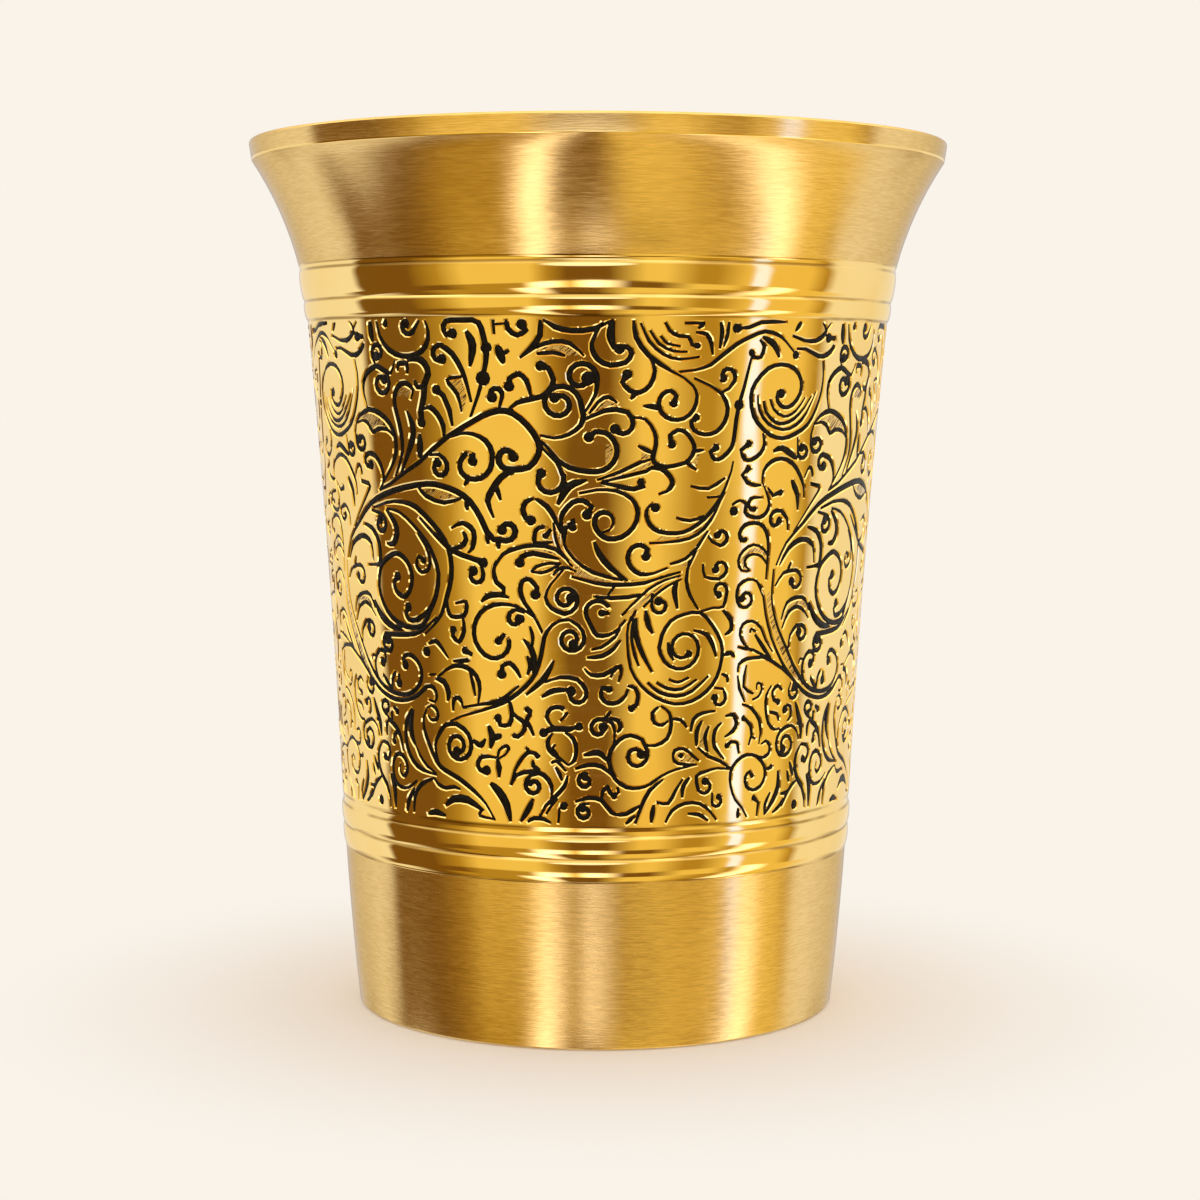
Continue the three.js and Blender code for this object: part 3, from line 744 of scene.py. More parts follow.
stem(-22.2, 39.2, -22.7, 38.2, -22.7, 36.8, -22, 35.1, -20.9, 33.1, -19.7, 32.2, -17.5, 31.3, -15.4, 30, -13.8,
     28.6, -12.6, 26.8)
stem(-24.3, 30.6, -25.9, 29.6, -27.4, 29.5, -28.5, 30.3, -28.8, 31.9, -28.2, 33.2, -27, 33.4, -26.1, 32.6, -26,
     31.6, -26.7, 30.9, -27.4, 31.4, -27.2, 32.3)
stem(-25, 26.5, -24.8, 28.6, -23.6, 30.2, -21.4, 31.1)
blade(-26.4, 26.5, -25.9, 28.1, -24.8, 29.7, half=.34)
blade(-22.6, 26.8, -21.3, 27.1, -19.7, 26.8, half=.36)

# lower middle: the vine that bends both ways, its curls and the border below
stem(-14.3, 56.8, -13.6, 56.1, curl=(-14.4, 55, 1, -.8))
stem(-11.8, 56.8, -12.1, 55.6, -11.8, 54.3, -10.9, 53.6, -11.1, 52.8)
blade(-13.8, 52, -12.9, 52.7, -11.5, 52.9, -10.3, 52.6, half=.36)
stem(-7.2, 50.4, -8.6, 51.3, -10.2, 51.8, -12.2, 51.7, -13.9, 50.8, -14.8, 49.2, -14.7, 47.4, -13.5, 45.9, -11.9,
     45.6, -10.7, 46.4, -10.4, 47.6, -11, 48.3, ball=(-11.7, 47.6), knob=.5)
stem(-8.4, 50.9, -9.4, 51.2, curl=(-9.6, 50.2, .95, .8))
stem(-6.3, 48.6, -7.2, 50.4, -8.4, 52, -8.9, 53.4, -8.6, 54.5, -7.7, 54.7, -6.9, 53.8, ball=(-7.1, 53))
stem(-3.6, 50.4, -5.2, 49.5, -6.1, 48.1, -6.5, 46.1, -7.2, 44, -8.4, 42.5, -10.2, 41.1, -12.2, 40.1, -14.7, 39.3,
     -16.8, 38.7, -18.6, 38)
stem(-9.3, 42.5, -11.1, 41.1, -12.9, 40.4, -16.8, 39.7, half=.24)
stem(-18.1, 39.2, -18, 40.4, -17.3, 40.8, -16.8, 40.2, -16.7, 39.7)
stem(-5.2, 49.7, -4, 50.1, -3.1, 50.2, curl=(-3, 48, 1.8, -1.4))
stem(-3.8, 55.9, -5.2, 54.3, -5.9, 52.7, -5.2, 51.5, -3.8, 50.9, curl=(-3.6, 52.6, 1.7, 1.3))
stem(3.4, 50.2, 2.5, 49.2, 1.4, 48.5, .1, 48.45, -.5, 49.3, -1.1, 50.5, -1.2, 51.5, -.5, 52.25, .5, 52.35, 1.3,
     51.8, 1.3, 51, ball=(.6, 51), knob=.45)
stem(-1.1, 45.9, .7, 46.1, 2.1, 47, 2.8, 47.9)
stem(-.6, 46.8, .6, 47.1, 2.1, 48.2, 2.8, 49.2, half=.2)
stem(-1.4, 44.7, -.6, 43.95, .9, 43.95, 2.1, 44.6, 2.8, 44.9, 2.9, 44, 2.6, 43.1)
stem(1.7, 43.6, 1.9, 44.2, 2.5, 44.7, half=.2)
blade(-8.2, 46, -7.8, 44.9, -8.2, 43.8, half=.3)
blade(-7.8, 49.3, -7.5, 48.2, -7.6, 47, half=.2)
blade(-8.6, 47.9, -7.7, 46.8, -7.3, 45.2, -7.5, 44, half=.34)
stem(-9, 43.4, -9.5, 44.3, -10.4, 45.1, -11.3, 44.7, ball=(-11.4, 43.8))
blade(-8.4, 41.5, -6.5, 43.1, -5.6, 44.3, -5, 45.5, half=.36)
stem(-6.1, 43, -4.3, 43.6, -2.2, 43.4, -1.2, 42.2, curl=(-2.3, 41.7, 1.2, -.7))
blade(-6.5, 41.3, -5, 42.1, -2.9, 42.2, half=.34)
stem(-20.3, 43, -19, 43.9, -17.5, 44.5, -15.9, 44.3, -14.7, 43.4, -14.3, 42, -14.6, 40.1)
stem(-15.6, 44, -15.2, 42.5, -14.9, 41.1, half=.24)
stem(-20.6, 42.8, -19.3, 42.5, -18.7, 41.3, -18.9, 40.3, half=.36)
stem(-21.6, 43.2, -20.4, 43.3, half=.2)
stem(-17.9, 45, -15.9, 45.2, -15.3, 45.9, ball=(-16.1, 46.3), knob=.5)
stem(-21.5, 46.8, -20.4, 47.2, -19.5, 46.5, -18.5, 45.3)
dot(-21.8, 45.9, .6)
stem(-17.3, 51.7, -15.8, 51.9, -16.1, 50.4, -17.9, 50.2, -18.4, 51.4, -18.3, 53.2, half=.26)
stem(-16.3, 50.2, -16.2, 48.6, -17, 47.3, -17.8, 47.9, ball=(-17.7, 48.6), knob=.5)
stem(-19.5, 32, -20.6, 33.1, -21, 35, -20.4, 36.3, -19.3, 37.5, -17.7, 37.7, curl=(-17.6, 35.2, 2.2, -1.5))
blade(-15.4, 35.9, -14.4, 35.45, -13.75, 36.2, half=.34)
blade(-13.3, 37.8, -12.8, 36.5, -13.1, 35.1, half=.4)
blade(-12.9, 36.4, -12.2, 36.5, -11.6, 36.8, half=.4)
stem(-12.2, 34, -11.9, 35, -11.1, 35.5, -10.7, 35.2, -11.2, 34.5, -12.2, 33.9, half=.2)
stem(-12.2, 34, -12, 33, -12, 31.8, half=.36)
stem(-12.3, 34.1, -13.2, 34.2, -14.2, 34.1, curl=(-14, 33.1, .95, .6))
blade(-13.2, 31.1, -12.1, 30.2, -11.1, 28.7, -10.6, 26.7, half=.5)
stem(-14.4, 28, -14.7, 27.2, -12.6, 26.9, half=.18)
blade(-19.7, 28, -18.4, 28.9, -16.3, 28.9, -14.2, 27.8)
stem(-21.4, 31.1, -20.7, 30.4, -19.5, 30.1, -18.2, 30.3, -17.4, 30.1, half=.24)
stem(-10.6, 41.1, -10.2, 39.3, -10.6, 38, -11.7, 37.9, ball=(-12, 38.7), knob=.5)
stem(-10.2, 39.5, -9.6, 38.9, -8.9, 38.5, -8.6, 37.9, -8.9, 37.1, -9.5, 36.65, ball=(-9.9, 36.75), knob=.34)
stem(-7.5, 36.8, -7.95, 37.8, -8.4, 38.5, -8, 39.2, -7.95, 39.7, ball=(-8.25, 39.85), knob=.38)
stem(-5.2, 37.9, -5.9, 39, -5.4, 40, -4.3, 40.2, -3.5, 39.5, -4.3, 38.6)
stem(-6.3, 37.2, -5.2, 37.7, -3.1, 37.7, -2, 38, half=.34)
dot(-6.3, 37.2, .55)
dot(-2, 38, .5)
stem(-5.2, 37.2, -5.8, 36.2, -5.6, 35.2, -4.6, 34.4, -3.3, 33.5)
stem(-3.7, 37.3, -2.7, 36.6, -2.35, 35.3, -2.6, 34.1, -3.3, 33.5)
stem(-4.9, 35.9, -5.2, 35.3, -4.5, 34.7, half=.18)
stem(-5.4, 33.7, -4.8, 34, -4.2, 33.5, -3.6, 32.8, half=.22)
stem(-4.9, 33.3, -4.4, 32.5, -4.1, 31.7, half=.22)
stem(2.2, 36.2, 2.2, 37.4, 1.9, 38.4, 1.1, 38.9, curl=(.3, 37.8, 1.05, .85))
stem(1.6, 39, 2.6, 38.7, 2.9, 37.9, 2.5, 37.3, half=.3)
blade(1.2, 39.1, 1.75, 39.8, half=.24)
stem(-10.5, 31, -9.7, 32.2, -7.9, 32.7, -6.3, 32.3, -5.4, 31.1, -5.4, 29.7)
stem(-10.5, 31, -9.9, 32.8, -8.9, 34.3, -8.1, 34.9, -7.4, 34.8, ball=(-7.1, 34.5), half=.24, knob=.34)
blade(-8.5, 35.5, -8.1, 34.9, half=.2)
stem(-7.6, 34, -7.6, 33.3, -6.8, 32.9, half=.24)
stem(-6, 32.2, -7, 32.45, -8, 32.2, curl=(-7.6, 31, 1.1, 1.1), knob=.4)
stem(-3.4, 32.3, -3.8, 31.1, -5, 29.8, -6.1, 28.8, -7, 27.2)
blade(-7.7, 29.5, -8.4, 28.1, -9.3, 26.8, half=.36)
stem(-4.7, 29.6, -5.4, 28.8, -6.1, 27.8, half=.18)
stem(-8.4, 26.8, -7.6, 27.3, -6.3, 27.2, -5.5, 26.8)
stem(-4.4, 28.6, -4.6, 26.8)
dot(-3.9, 28.8, .5)
stem(-2.5, 33.1, -.9, 33.6, .7, 33.4, 2.1, 32.2)
stem(-.9, 32.6, curl=(-1.3, 31.7, 1, 1.1), knob=.45)
stem(-2.5, 29.3, -.9, 29.8, .7, 29.5, 1.9, 28.1, 3, 27.7)
stem(-.8, 29.1, curl=(-1.4, 28.1, 1, 1.1), knob=.45)
stem(.7, 29.7, .8, 30.5, 1.4, 31, 1.7, 30.4, ball=(2.2, 30), knob=.42)
stem(2.3, 30, 2.7, 30.4, 2.6, 31, half=.2)
blade(-1.5, 34.7, .3, 35, 1.4, 34, half=.36)

# lower centre: the second wound scroll, its leaves and the border below
stem(-2.9, 55.1, -.2, 54.4, 2.5, 54.2, 5.5, 54.4, 7.8, 55.1, 9.8, 55.6, half=.26)
stem(-2.5, 57, -.4, 55.6, 3, 54.7, half=.24)
stem(-.4, 52.9, 1.6, 52.7, 3.7, 52.8, 5.5, 53.1, half=.26)
leaf(-2.6, 55.2, -.2, 54.6, 2.5, 54.4, 5.4, 54.6, 7.6, 55.2, 5.5, 54.9, 3, 54.8, -.4, 55.3, -2.2, 56.3)
stem(1.3, 53, 2, 54, half=.2)
stem(9.8, 55.2, 7.9, 54.7, 6, 53.7, 4.4, 52.2, 2.9, 50.7, half=.2)
stem(9.9, 54.8, 8.2, 54, 6.8, 53, 5.4, 51.6, half=.2)
leaf(9.4, 54.9, 7.9, 54.5, 6.1, 53.5, 4.5, 52, 3.6, 51.1, 4.3, 51, 5.2, 51.7, 6.7, 53.2, 8.1, 54.2)
blade(9.4, 54.7, 9.1, 53.4, 9.5, 51.4, half=.4)
stem(6.5, 53.25, 6.4, 52, curl=(7.4, 51.8, 1, .9))
blade(5.7, 51.3, 6, 49.7, 6.6, 48.6, half=.38)
stem(4.3, 50.4, 4.1, 48.5, 4.3, 46.8, 5, 44.9, half=.2)
blade(4.6, 50.4, 4.6, 48.4, 5.5, 46.1, 6.6, 44.2, half=.34)
stem(4.6, 51.3, 3.7, 49.7, 3.6, 47.5, 4, 44.7, 5.3, 42.7, 7.1, 41.3, 9.4, 40.5, 11.6, 40.75, 13.5, 41.8, 14.8, 43.4,
     15.4, 45.6, 15.2, 47.5, 13.9, 49.5, 12.3, 50.9, 10.3, 50.75, 8.7, 50, 7.7, 48.4, 7.4, 47,
     curl=(10.3, 46.9, 2.8, 1.4))
blade(6.1, 43, 7.5, 41.9, 9.6, 41.4, 11.6, 41.9, 13.7, 43.6, half=.3)
blade(7.2, 43, 8.5, 42.3, 10.3, 42.2, 12.2, 43.25, half=.28)
blade(8.7, 43.35, 9.8, 43, 11.2, 43.5, half=.24)
blade(11.6, 48.9, 13.2, 48.4, 14.1, 47.2, 14.6, 45.75, half=.36)
blade(8.5, 47.6, 8.7, 46.4, 9.2, 45.5, half=.28)
stem(10.8, 57, 10.5, 54.7, 11, 52.9, 12.1, 51.3)
stem(12.3, 51, 13.9, 51.4, 15.3, 51.5, 15.7, 52.9, curl=(14.8, 53.4, .95, .8))
stem(12.5, 56.5, 12.8, 55, 14.6, 54.7, curl=(14.7, 55.9, 1, .8))
stem(7.8, 40.3, 8.8, 39.5, 9.1, 38.1, 8.6, 36.5, 7.1, 35.75, 5.7, 35.9)
stem(7.5, 40.2, 6.75, 39.5, 7, 38.4, 8, 38.1, 8.7, 38.6, half=.26)
stem(9.1, 38.8, 10.3, 38.6, 11.1, 37.7)
stem(12.5, 33.4, 9.8, 32.9, 8, 32.2, 6.6, 31.3, 5.3, 30.9, 3.7, 31, 2.3, 32, 1.6, 33.8, 1.75, 35.2, 2.8, 36.5, 4.1,
     37, 5.5, 36.5, curl=(4.8, 34.6, 1.5, -1.1))
stem(3.7, 42.7, 4.6, 42.4, 4.95, 41.4, 4.8, 40.5, ball=(4.2, 40.1), knob=.5)
stem(3.8, 42.4, 3.5, 41.6, 2.6, 40.8, 1.4, 40.7, .6, 41.4, .7, 42.4, ball=(1.5, 42.3), knob=.45)
stem(11.6, 37.2, 11.9, 38.6, 13, 39.3, 14.8, 39.5, half=.28)
blade(12.4, 35.5, 12.4, 37.2, 13, 38.4, half=.34)
blade(13.9, 34.7, 13.5, 36.5, 14, 37.8, half=.3)
stem(16.2, 33.8, 14.8, 35.4, 14.8, 37.2, 15.7, 38.1, half=.3)
stem(12.5, 35.4, 13.9, 34.3, 15.7, 33.6, 17.3, 32.6, half=.28)
leaf(12.6, 35.6, 13.7, 34.8, 13.3, 36.5, 13.6, 38, 12.9, 37.6)
stem(9.4, 34.3, 9.6, 35.1, 10.7, 35.3, 11.9, 34.5, 12.8, 33.8, half=.26)
stem(9.4, 34.3, 10, 33.6, 12.1, 33.4, half=.26)
leaf(9.6, 34.3, 9.8, 34.9, 10.7, 35.1, 11.8, 34.3, 12.1, 33.6, 10.1, 33.8)
dot(10.4, 34.5, .35)
stem(18.3, 34.3, 18, 35.6, 17.1, 35.75, ball=(16.6, 35.4), knob=.5)
stem(16.2, 38.8, 17.3, 38.9, 17.8, 37.9, 17.3, 37, 16.2, 36.4, half=.34)
stem(19.9, 26.7, 19.1, 27.9, 18, 29, 17.3, 30.6, 17.2, 32.2, 18, 33.4, 19.5, 34.1, 21.1, 33.8, 22.3, 32.7, 22.5,
     31.3, 21.8, 30.2, 20.6, 29.9, 19.6, 30.5, 19.4, 31.5, 20, 32.1, ball=(20.4, 31.6), knob=.4)
stem(4.8, 26.7, 5.5, 28.6, 6.6, 30.6, 8.2, 31.8)
stem(2.3, 27.9, 3.7, 27.9, 5.3, 28.8)
blade(3.6, 26.7, 4.8, 27.7, half=.26)
blade(7.1, 28.9, 6.8, 26.8, half=.34)
stem(7.4, 29.2, 8.9, 29, 9.8, 30.4, 10.7, 31.8)
blade(11.6, 31.9, 10.8, 30.9, 10.7, 29.6, half=.34)
stem(8.6, 26.7, 9.4, 28.1, 11, 28.9, 13, 28.8, 14.6, 27.7, 15.4, 26.7)
blade(11.5, 27.7, 13, 27.5, 14.25, 26.7, half=.32)
stem(17.2, 32.6, 15.3, 32.8, 13.7, 32.5, 12.5, 32, 12.8, 30.4, curl=(13.7, 30.8, .9, .7))
stem(14.7, 30, 14.7, 29, curl=(15.4, 29, .8, .7), knob=.5)
stem(21.4, 26.7, 21.6, 28.4, ball=(20.9, 28.9), knob=.5)
blade(18.5, 26.7, 18.5, 27.9, half=.34)

print("engraving drawn:", len(lines), "lines,", len(leaves), "leaves")


def ribbons(shift, grow):  # four-cornered pieces along each line, and a round for its ball
    made = []
    for points, widths, ball in lines:
        sides = []
        for k, (x, z) in enumerate(points):
            (xa, za), (xb, zb) = points[max(k - 1, 0)], points[min(k + 1, len(points) - 1)]
            far = math.hypot(xb - xa, zb - za) or 1.0
            nx, nz = -(zb - za) / far, (xb - xa) / far
            half = max(engraving["leastHalf"], widths[k] + grow)
            back = grow if k == 0 else (-grow if k == len(points) - 1 else 0.0)
            x, z = x - nz * back, z + nx * back
            sides.append(((x + nx * half + shift, z + nz * half), (x - nx * half + shift, z - nz * half)))
        for (a, b), (c, d) in zip(sides, sides[1:]):
            made.append((a, b, d, c))
        if ball:
            (bx, bz), radius = ball
            below, above = engraving["ballRoom"]
            bz = min(max(bz, engraving["lowest"] + below), engraving["highest"] - above)
            size = max(engraving["leastBall"], radius + grow)
            turns = [k * math.pi / 5 for k in range(10)]
            made.append(tuple((bx + shift + size * math.cos(turn), bz + size * math.sin(turn)) for turn in turns))
    return made


def inOrder(corners):  # corners taken round their middle, against the clock
    mx = sum(c[0] for c in corners) / len(corners)
    mz = sum(c[1] for c in corners) / len(corners)
    return sorted(corners, key=lambda c: math.atan2(c[1] - mz, c[0] - mx))


def segments(shift):  # both ends and the half width of each stretch of line
    for points, widths, ball in lines:
        for (a, wa), (b, wb) in zip(zip(points, widths), zip(points[1:], widths[1:])):
            yield (a[0] + shift, a[1], b[0] + shift, b[1], (wa + wb) / 2)
        if ball:
            (x, z), radius = ball
            yield (x + shift, z, x + shift + 0.001, z, radius)


def squares(a, b, reach):  # whole millimetres that a stretch passes, along or up
    return range(math.floor(min(a, b) - reach), math.floor(max(a, b) + reach) + 1)


def engravedSheet():  # flat repeat of the band cut along every line, with the kind of each triangle
    half = engraving["repeat"] / 2
    outerGrow = engraving["bevel"] * engraving["lacTop"] / engraving["depth"]
    innerGrow = outerGrow - engraving["bevel"]
    corners, faces, kinds = [], [], []
    shifts = (-engraving["repeat"], 0.0, engraving["repeat"])

    def addFace(points, kind):
        if max(p[0] for p in points) < -half - 1 or min(p[0] for p in points) > half + 1:
            return
        faces.append(list(range(len(corners), len(corners) + len(points))))
        corners.extend(points)
        kinds.append(kind)

    for shift in shifts:
        for piece in ribbons(shift, outerGrow):
            addFace(inOrder(piece), bevelFace)
        for piece in ribbons(shift, innerGrow):
            addFace(inOrder(piece), floorFace)
        for outline in leaves:
            shifted = [(x + shift, z) for x, z in outline]
            area = sum(a[0] * b[1] - b[0] * a[1] for a, b in zip(shifted, shifted[1:] + shifted[:1]))
            addFace(shifted if area > 0 else shifted[::-1], leafFace)

    near = {}  # lines by the square of the sheet that they pass
    for shift in shifts:
        for piece in segments(shift):
            xa, za, xb, zb, wide = piece
            reach = wide + outerGrow + engraving["nearby"]
            for gx in squares(xa, xb, reach):
                for gz in squares(za, zb, reach):
                    near.setdefault((gx, gz), []).append(piece)

    def offLine(x, z):  # how far inside the nearest cut, below zero where the land is clear
        best = -9.0
        for xa, za, xb, zb, wide in near.get((math.floor(x), math.floor(z)), ()):
            lx, lz = xb - xa, zb - za
            t = min(1.0, max(0.0, ((x - xa) * lx + (z - za) * lz) / max(1e-9, lx * lx + lz * lz)))
            best = max(best, wide + outerGrow - math.hypot(x - xa - lx * t, z - za - lz * t))
        return best

    columns = engraving["columns"]
    rows = round((band["top"] - band["bottom"]) / engraving["grid"])
    border = [(-half + engraving["repeat"] * k / columns, band["bottom"]) for k in range(columns + 1)]
    upper = [(x, band["top"]) for x, z in reversed(border)]
    sideHeights = [band["bottom"] + (band["top"] - band["bottom"]) * k / rows for k in range(1, rows)]
    loop = border + [(half, z) for z in sideHeights] + upper + [(-half, z) for z in reversed(sideHeights)]
    edges = [(len(corners) + k, len(corners) + (k + 1) % len(loop)) for k in range(len(loop))]
    corners.extend(loop)
    for k in range(1, columns):
        for z in sideHeights:
            x = -half + engraving["repeat"] * k / columns
            if offLine(x, z) < -engraving["clear"]:
                corners.append((x, z))
    points, _, triangles, _, _, owners = delaunay_2d_cdt(
        [Vector(c) for c in corners], edges, faces, 0, engraving["merge"], True)
    kept, labels = [], []
    for triangle, owner in zip(triangles, owners):
        mx = sum(points[v].x for v in triangle) / 3
        mz = sum(points[v].y for v in triangle) / 3
        if abs(mx) > half or not band["bottom"] < mz < band["top"]:
            continue
        held = {kinds[f] for f in owner}
        kept.append(triangle)
        labels.append(next((kind for kind in (floorFace, bevelFace, leafFace) if kind in held), landFace))
    touching = [set() for _ in points]
    for triangle, label in zip(kept, labels):
        for v in triangle:
            touching[v].add(label)
    depths = []
    for point, kindsHere in zip(points, touching):
        if landFace in kindsHere or leafFace in kindsHere or not kindsHere:
            depths.append(0.0)
        elif floorFace in kindsHere:
            depths.append(engraving["depth"])
        else:
            depths.append(engraving["depth"] * min(1.0, max(0.0, offLine(point.x, point.y) / engraving["bevel"])))
    return [(p.x, p.y) for p in points], kept, labels, depths


def meshFrom(name, points, faces, kinds):
    mesh = bpy.data.meshes.new(name)
    mesh.from_pydata([tuple(c * mm for c in p) for p in points], [], faces)
    mesh.attributes.new("face_kind", "INT", "FACE").data.foreach_set("value", kinds)
    return mesh


def flatWall(sheet):  # one repeat of the whole wall, unrolled: along, out from the axis, up
    points, faces, kinds = [], [], []
    half, columns = engraving["repeat"] / 2, engraving["columns"]
    for kind, run in wallRows():
        if kind == landFace:
            continue
        trimmed = [p for k, p in enumerate(run) if k == 0 or math.dist(p, run[k - 1]) > engraving["merge"]]
        first = len(points)
        for r, z in trimmed:
            points.extend((-half + engraving["repeat"] * k / columns, r, z) for k in range(columns + 1))
        for row in range(len(trimmed) - 1):
            for k in range(columns):
                a = first + row * (columns + 1) + k
                b = a + columns + 1
                faces.append((a, a + 1, b + 1, b))
                kinds.append(kind)
    flat, triangles, labels, depths = sheet
    place = {v: len(points) + k for k, v in enumerate(sorted({v for triangle in triangles for v in triangle}))}
    points.extend((flat[v][0], bandRadius(flat[v][1]) - depths[v], flat[v][1]) for v in place)
    for triangle, label in zip(triangles, labels):
        faces.append(tuple(place[v] for v in triangle))
        kinds.append(label)
    return points, faces, kinds


def flatLac(sheet):  # black filling: a closed slab over every groove floor, its sides just under the bevels
    flat, triangles, labels, depths = sheet
    half = engraving["repeat"] / 2
    top, bottom = engraving["lacTop"], engraving["depth"] + engraving["lacSink"]
    sideStep = engraving["bevel"] * (1 - engraving["lacTop"] / engraving["depth"] + engraving["lacSide"])

    def onSeam(v):  # on the line where two repeats meet
        return abs(abs(flat[v][0]) - half) < engraving["seamReach"]

    floor = [t for t, label in zip(triangles, labels) if label == floorFace]
    edges = dict.fromkeys(e for a, b, c in floor for e in ((a, b), (b, c), (c, a)))
    rimEdges = [(a, b) for a, b in edges if (b, a) not in edges and not (onSeam(a) and onSeam(b))]
    push = {}
    for a, b in rimEdges:
        (xa, za), (xb, zb) = flat[a], flat[b]
        far = math.hypot(xb - xa, zb - za) or 1.0
        for v in (a, b):
            nx, nz = push.get(v, (0.0, 0.0))
            push[v] = (nx + (zb - za) / far, nz - (xb - xa) / far)
    order, points = {}, []
    used = sorted({v for t in floor for v in t})
    for depth in (top, bottom):
        for v in used:
            x, z = flat[v]
            if v in push:
                nx, nz = push[v]
                far = math.hypot(nx, nz) or 1.0
                step = sideStep / max(0.5, min(1.0, far / 2 + 0.2))
                x, z = x + (0.0 if onSeam(v) else nx / far * step), z + nz / far * step
            order[(v, depth)] = len(points)
            points.append((x, bandRadius(z) - depth, z))
    faces = [tuple(order[(v, top)] for v in t) for t in floor]
    faces += [tuple(order[(v, bottom)] for v in reversed(t)) for t in floor]
    faces += [(order[(b, top)], order[(a, top)], order[(a, bottom)], order[(b, bottom)]) for a, b in rimEdges]
    return points, faces, [0] * len(faces)


def wrapTree(finishes):  # repeats a flat piece along the band and rolls it round the axis
    tree = bpy.data.node_groups.new("wrap_round_axis", "GeometryNodeTree")
    board = Board(tree)
    face = tree.interface
    face.new_socket("Geometry", in_out="INPUT", socket_type="NodeSocketGeometry")
    face.new_socket("Repeats", in_out="INPUT", socket_type="NodeSocketInt")
    for name in ("Repeat Length", "Swell", "Weld"):
        face.new_socket(name, in_out="INPUT", socket_type="NodeSocketFloat")
    face.new_socket("Geometry", in_out="OUTPUT", socket_type="NodeSocketGeometry")
    given = board.node("NodeGroupInput", None, None, None)
    flat, repeats, length, swell, weld = (Wire(board, given.outputs[k]) for k in range(5))
    offset = spot(board, length, 0.0, 0.0)
    row = board.node("GeometryNodeMeshLine", None, {"Count": repeats, "Offset": offset})
    copies = board.node("GeometryNodeInstanceOnPoints", None, {"Points": row, "Instance": flat})
    real = board.node("GeometryNodeRealizeInstances", None, {0: copies})
    place = board.node("GeometryNodeInputPosition")
    parts = board.node("ShaderNodeSeparateXYZ", None, {0: place}, None)
    along, out, up = (Wire(board, parts.outputs[k]) for k in range(3))
    turn = along * (2 * math.pi) / (length * repeats)
    angle = turn + swell * board.maths("SINE", turn)
    rolled = spot(board, out * board.maths("SINE", angle), 0.0 - out * board.maths("COSINE", angle), up)
    moved = board.node("GeometryNodeSetPosition", None, {"Geometry": real, "Position": rolled})
    result = board.node("GeometryNodeMergeByDistance", None, {"Geometry": moved, "Distance": weld})
    result = board.node("GeometryNodeSetShadeSmooth", None, {0: result})
    result = board.node("GeometryNodeRealizeInstances", None, {0: result})
    for finish, low, high in finishes:
        kind = board.node("GeometryNodeInputNamedAttribute", {"data_type": "INT"}, {"Name": "face_kind"})
        chosen = board.maths("COMPARE", kind, (low + high) / 2, (high - low) / 2 + 0.25)
        result = board.node("GeometryNodeSetMaterial", None,
                            {"Geometry": result, "Selection": chosen, "Material": finish})
    board.node("NodeGroupOutput", None, {0: result}, None)
    return tree


def wrapped(name, mesh, finishes):
    mesh.materials.append(finishes[0][0])  # leaves no empty slot
    flatPiece = bpy.data.objects.new(name + "_flat", mesh)
    scene.collection.objects.link(flatPiece)
    tree = wrapTree(finishes)
    roll = flatPiece.modifiers.new("roll", "NODES")
    roll.node_group = tree
    ids = {item.name: item.identifier for item in tree.interface.items_tree if item.in_out == "INPUT"}
    roll[ids["Repeats"]] = engraving["repeats"]
    roll[ids["Repeat Length"]] = engraving["repeat"] * mm
    roll[ids["Swell"]] = engraving["swell"]
    roll[ids["Weld"]] = engraving["weld"] * mm
    shown = flatPiece.evaluated_get(bpy.context.evaluated_depsgraph_get())
    made = bpy.data.meshes.new_from_object(shown)
    made.name = name
    flatPiece.modifiers.clear()
    bpy.data.objects.remove(flatPiece)
    piece = bpy.data.objects.new(name, made)
    scene.collection.objects.link(piece)
    return piece


def dressNormals(mesh):  # land and leaves shine as one turned surface, the cuts keep their edges
    mesh.set_sharp_from_angle(angle=math.radians(engraving["crisp"]))
    kinds = [0] * len(mesh.polygons)
    mesh.attributes["face_kind"].data.foreach_get("value", kinds)
    normals = [tuple(n.vector) for n in mesh.corner_normals]
    for polygon, kind in zip(mesh.polygons, kinds):
        if kind not in (landFace, leafFace):
            continue
        for corner in polygon.loop_indices:
            x, y, z = mesh.vertices[mesh.loops[corner].vertex_index].co
            normals[corner] = tuple(Vector((x, y, -math.hypot(x, y) * bandSlope(z / mm))).normalized())
    mesh.normals_split_custom_set(normals)


sheet = engravedSheet()
print("engraved sheet:", len(sheet[1]), "triangles in one repeat")
wallPiece = wrapped("engraved_wall", meshFrom("flat_wall", *flatWall(sheet)),
                    [(satin, satinFace, satinFace), (polished, polishFace, floorFace), (chased, leafFace, leafFace)])
dressNormals(wallPiece.data)
lacPiece = wrapped("lac_filling", meshFrom("flat_lac", *flatLac(sheet)), [(lac, 0, 0)])
print("wall:", len(wallPiece.data.polygons), "faces; lac:", len(lacPiece.data.polygons), "faces")

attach(wallPiece, "root")
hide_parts("tumbler_wall")
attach(lacPiece, "root")

for node, finish in (("base_disc", turnedDisc()), ("braze_seam", brazedSeam())):
    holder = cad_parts[node]
    holder.data.materials.clear()
    holder.data.materials.append(finish)
print("pieces placed")


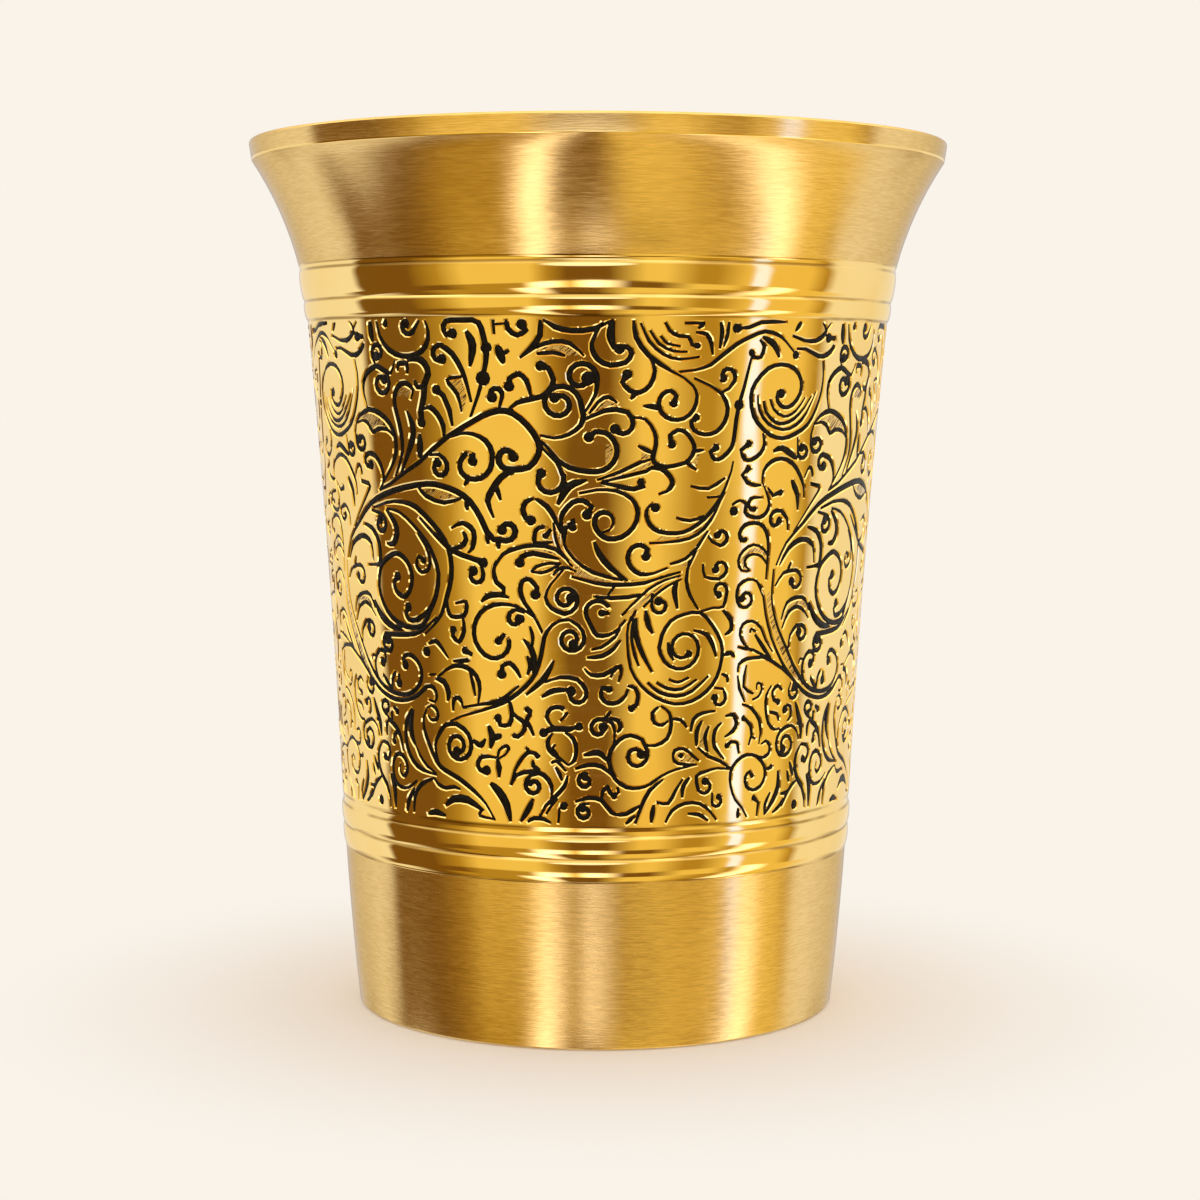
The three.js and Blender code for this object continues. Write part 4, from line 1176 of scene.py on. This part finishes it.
# table, light and camera, the table in metres
stage = dict(backdrop=(0.956, 0.896, 0.815), table=(0.915, 0.86, 0.80), fill=(0.98, 0.97, 0.96), glow=(0.10, 0.96),
             clear=(0.030, 0.080), fade=(0.16, 0.42), reach=1.6, drop=0.0001, sides=96, paper=900.0, paperTint=1.02)
cards = dict(white=(1.0, 1.02, 1.06), haze=(0.69, 0.66, 0.66), gold=(0.95, 0.76, 0.24), tawny=(0.50, 0.33, 0.05),
             dark=(0.21, 0.11, 0.018), lamp=(2.4, 2.35, 2.45), sky=(1.15, 1.42, 2.9))
# studio cards in three tiers, the lowest first: from and to in degrees round from the camera, right above zero
tiers = dict(
    low=[(-180, -148, "haze"), (-128, -104, "white"), (-88, -78, "dark"), (-66, -38, "tawny"), (-29, -26, "lamp"),
         (-17, 0, "dark"), (14, 34, "gold"), (52, 60, "tawny"), (74, 76, "lamp"), (84, 104, "gold"),
         (122, 130, "white"), (148, 180, "haze")],
    middle=[(-180, -142, "haze"), (-128, -122, "white"), (-110, -62, "dark"), (-52, -30, "tawny"), (-23, -18, "lamp"),
            (-10, -10, "gold"), (-3, 0, "lamp"), (12, 24, "dark"), (40, 54, "gold"), (64, 64, "tawny"),
            (74, 77, "lamp"), (86, 100, "gold"), (118, 126, "white"), (142, 180, "haze")],
    high=[(-180, -168, "haze"), (-160, -107, "white"), (-103, -76, "dark"), (-62, -62, "tawny"), (-52, -26, "gold"),
          (-19, -19, "tawny"), (-11, 4, "dark"), (18, 26, "gold"), (40, 47, "tawny"), (60, 60, "gold"),
          (62, 66, "sky"), (69, 88, "gold"), (97, 97, "tawny"), (103, 160, "white"), (168, 180, "haze")])
tierSeams = dict(middle=(-0.50, -0.47), high=(-0.33, -0.30))
overheadPanel = dict(colour=(1.6, 1.5, 1.15), rises=(0.16, 0.50))
# low over the camera: middle and half size, first in degrees round from it, then up
softBox = dict(colour=(1.4, 1.5, 1.7), middle=(-4, 0.17), half=(20, 0.16), edge=0.70)


def studioWorld():
    world = bpy.data.worlds.new("studio")
    world.use_nodes = True
    scene.world = world
    board = Board(world.node_tree)
    way = board.node("ShaderNodeTexCoord", None, None, "Generated")
    parts = board.node("ShaderNodeSeparateXYZ", None, {0: way}, None)
    x, y, z = (Wire(board, parts.outputs[k]) for k in range(3))
    turn = board.maths("ARCTAN2", x, 0.0 - y) / (2 * math.pi) + 0.5
    rings = {}
    for name, tier in tiers.items():
        stops = [((edge + 180) / 360, cards[card]) for start, end, card in tier for edge in sorted({start, end})]
        rings[name] = board.node("ShaderNodeValToRGB", {"stops": stops}, {0: turn})
    shown = rings["low"]
    for name, seam in tierSeams.items():
        shown = board.mix(board.between(z, *seam), shown, rings[name])
    shown = board.mix(board.between(z, *overheadPanel["rises"]), shown, overheadPanel["colour"])
    aside = (turn * 360.0 - 180.0 - softBox["middle"][0]) / softBox["half"][0]
    above = (z - softBox["middle"][1]) / softBox["half"][1]
    out = board.maths("SQRT", aside * aside + above * above)
    shown = board.mix(board.between(out, softBox["edge"], 1.0, 1.0, 0.0), shown, softBox["colour"])
    ray = board.node("ShaderNodeLightPath", None, None, None)
    camera, diffuse = (Wire(board, ray.outputs[k]) for k in ("Is Camera Ray", "Is Diffuse Ray"))
    shown = board.mix(diffuse, shown, stage["fill"])
    shown = board.mix(camera, shown, stage["backdrop"])
    back = board.node("ShaderNodeBackground", None, {"Color": shown, "Strength": 1.0})
    board.node("ShaderNodeOutputWorld", None, {"Surface": back}, None)
    world.cycles.sampling_method = "NONE"


def tableTop():  # pale paper round the foot that passes into the backdrop
    finish, board = newFinish("pale_table")
    place, angle, reach, z = roundAxis(board)
    far = board.between(reach, *stage["clear"], *stage["glow"]) \
        + board.between(reach, *stage["fade"], 0.0, 1 - stage["glow"][1])
    paper = noiseAt(board, place, stage["paper"])
    tint = board.mix(paper, stage["table"], tuple(c * stage["paperTint"] for c in stage["table"]))
    near = board.node("ShaderNodeBsdfDiffuse", None, {"Color": tint})
    glow = board.node("ShaderNodeEmission", None, {"Color": stage["backdrop"], "Strength": 1.0})
    surface = board.node("ShaderNodeMixShader", None, {0: far, 1: near, 2: glow})
    board.node("ShaderNodeOutputMaterial", None, {"Surface": surface}, None)
    count, size, level = stage["sides"], stage["reach"], -stage["drop"]
    turns = [2 * math.pi * k / count for k in range(count)]
    points = [(0.0, 0.0, level)] + [(size * math.cos(turn), size * math.sin(turn), level) for turn in turns]
    mesh = bpy.data.meshes.new("table")
    mesh.from_pydata(points, [], [(0, k + 1, (k + 1) % count + 1) for k in range(count)])
    mesh.materials.append(finish)
    table = bpy.data.objects.new("table", mesh)
    scene.collection.objects.link(table)
    table.visible_glossy = False


view = dict(place=(0.0, -0.3292, 0.07655), down=4.645, right=0.076, roll=0.2, lens=79.2, sensor=36.0)


def photoCamera():
    data = bpy.data.cameras.new("camera")
    data.lens, data.sensor_width = view["lens"], view["sensor"]
    data.clip_start, data.clip_end = 0.01, 20.0
    camera = bpy.data.objects.new("camera", data)
    camera.location = view["place"]
    aim = Euler((math.radians(90 - view["down"]), 0.0, -math.radians(view["right"]))).to_matrix()
    camera.rotation_euler = (aim @ Matrix.Rotation(math.radians(view["roll"]), 3, "Z")).to_euler()
    scene.collection.objects.link(camera)
    scene.camera = camera


studioWorld()
tableTop()
photoCamera()
scene.view_settings.view_transform = "Standard"
print("stage set")
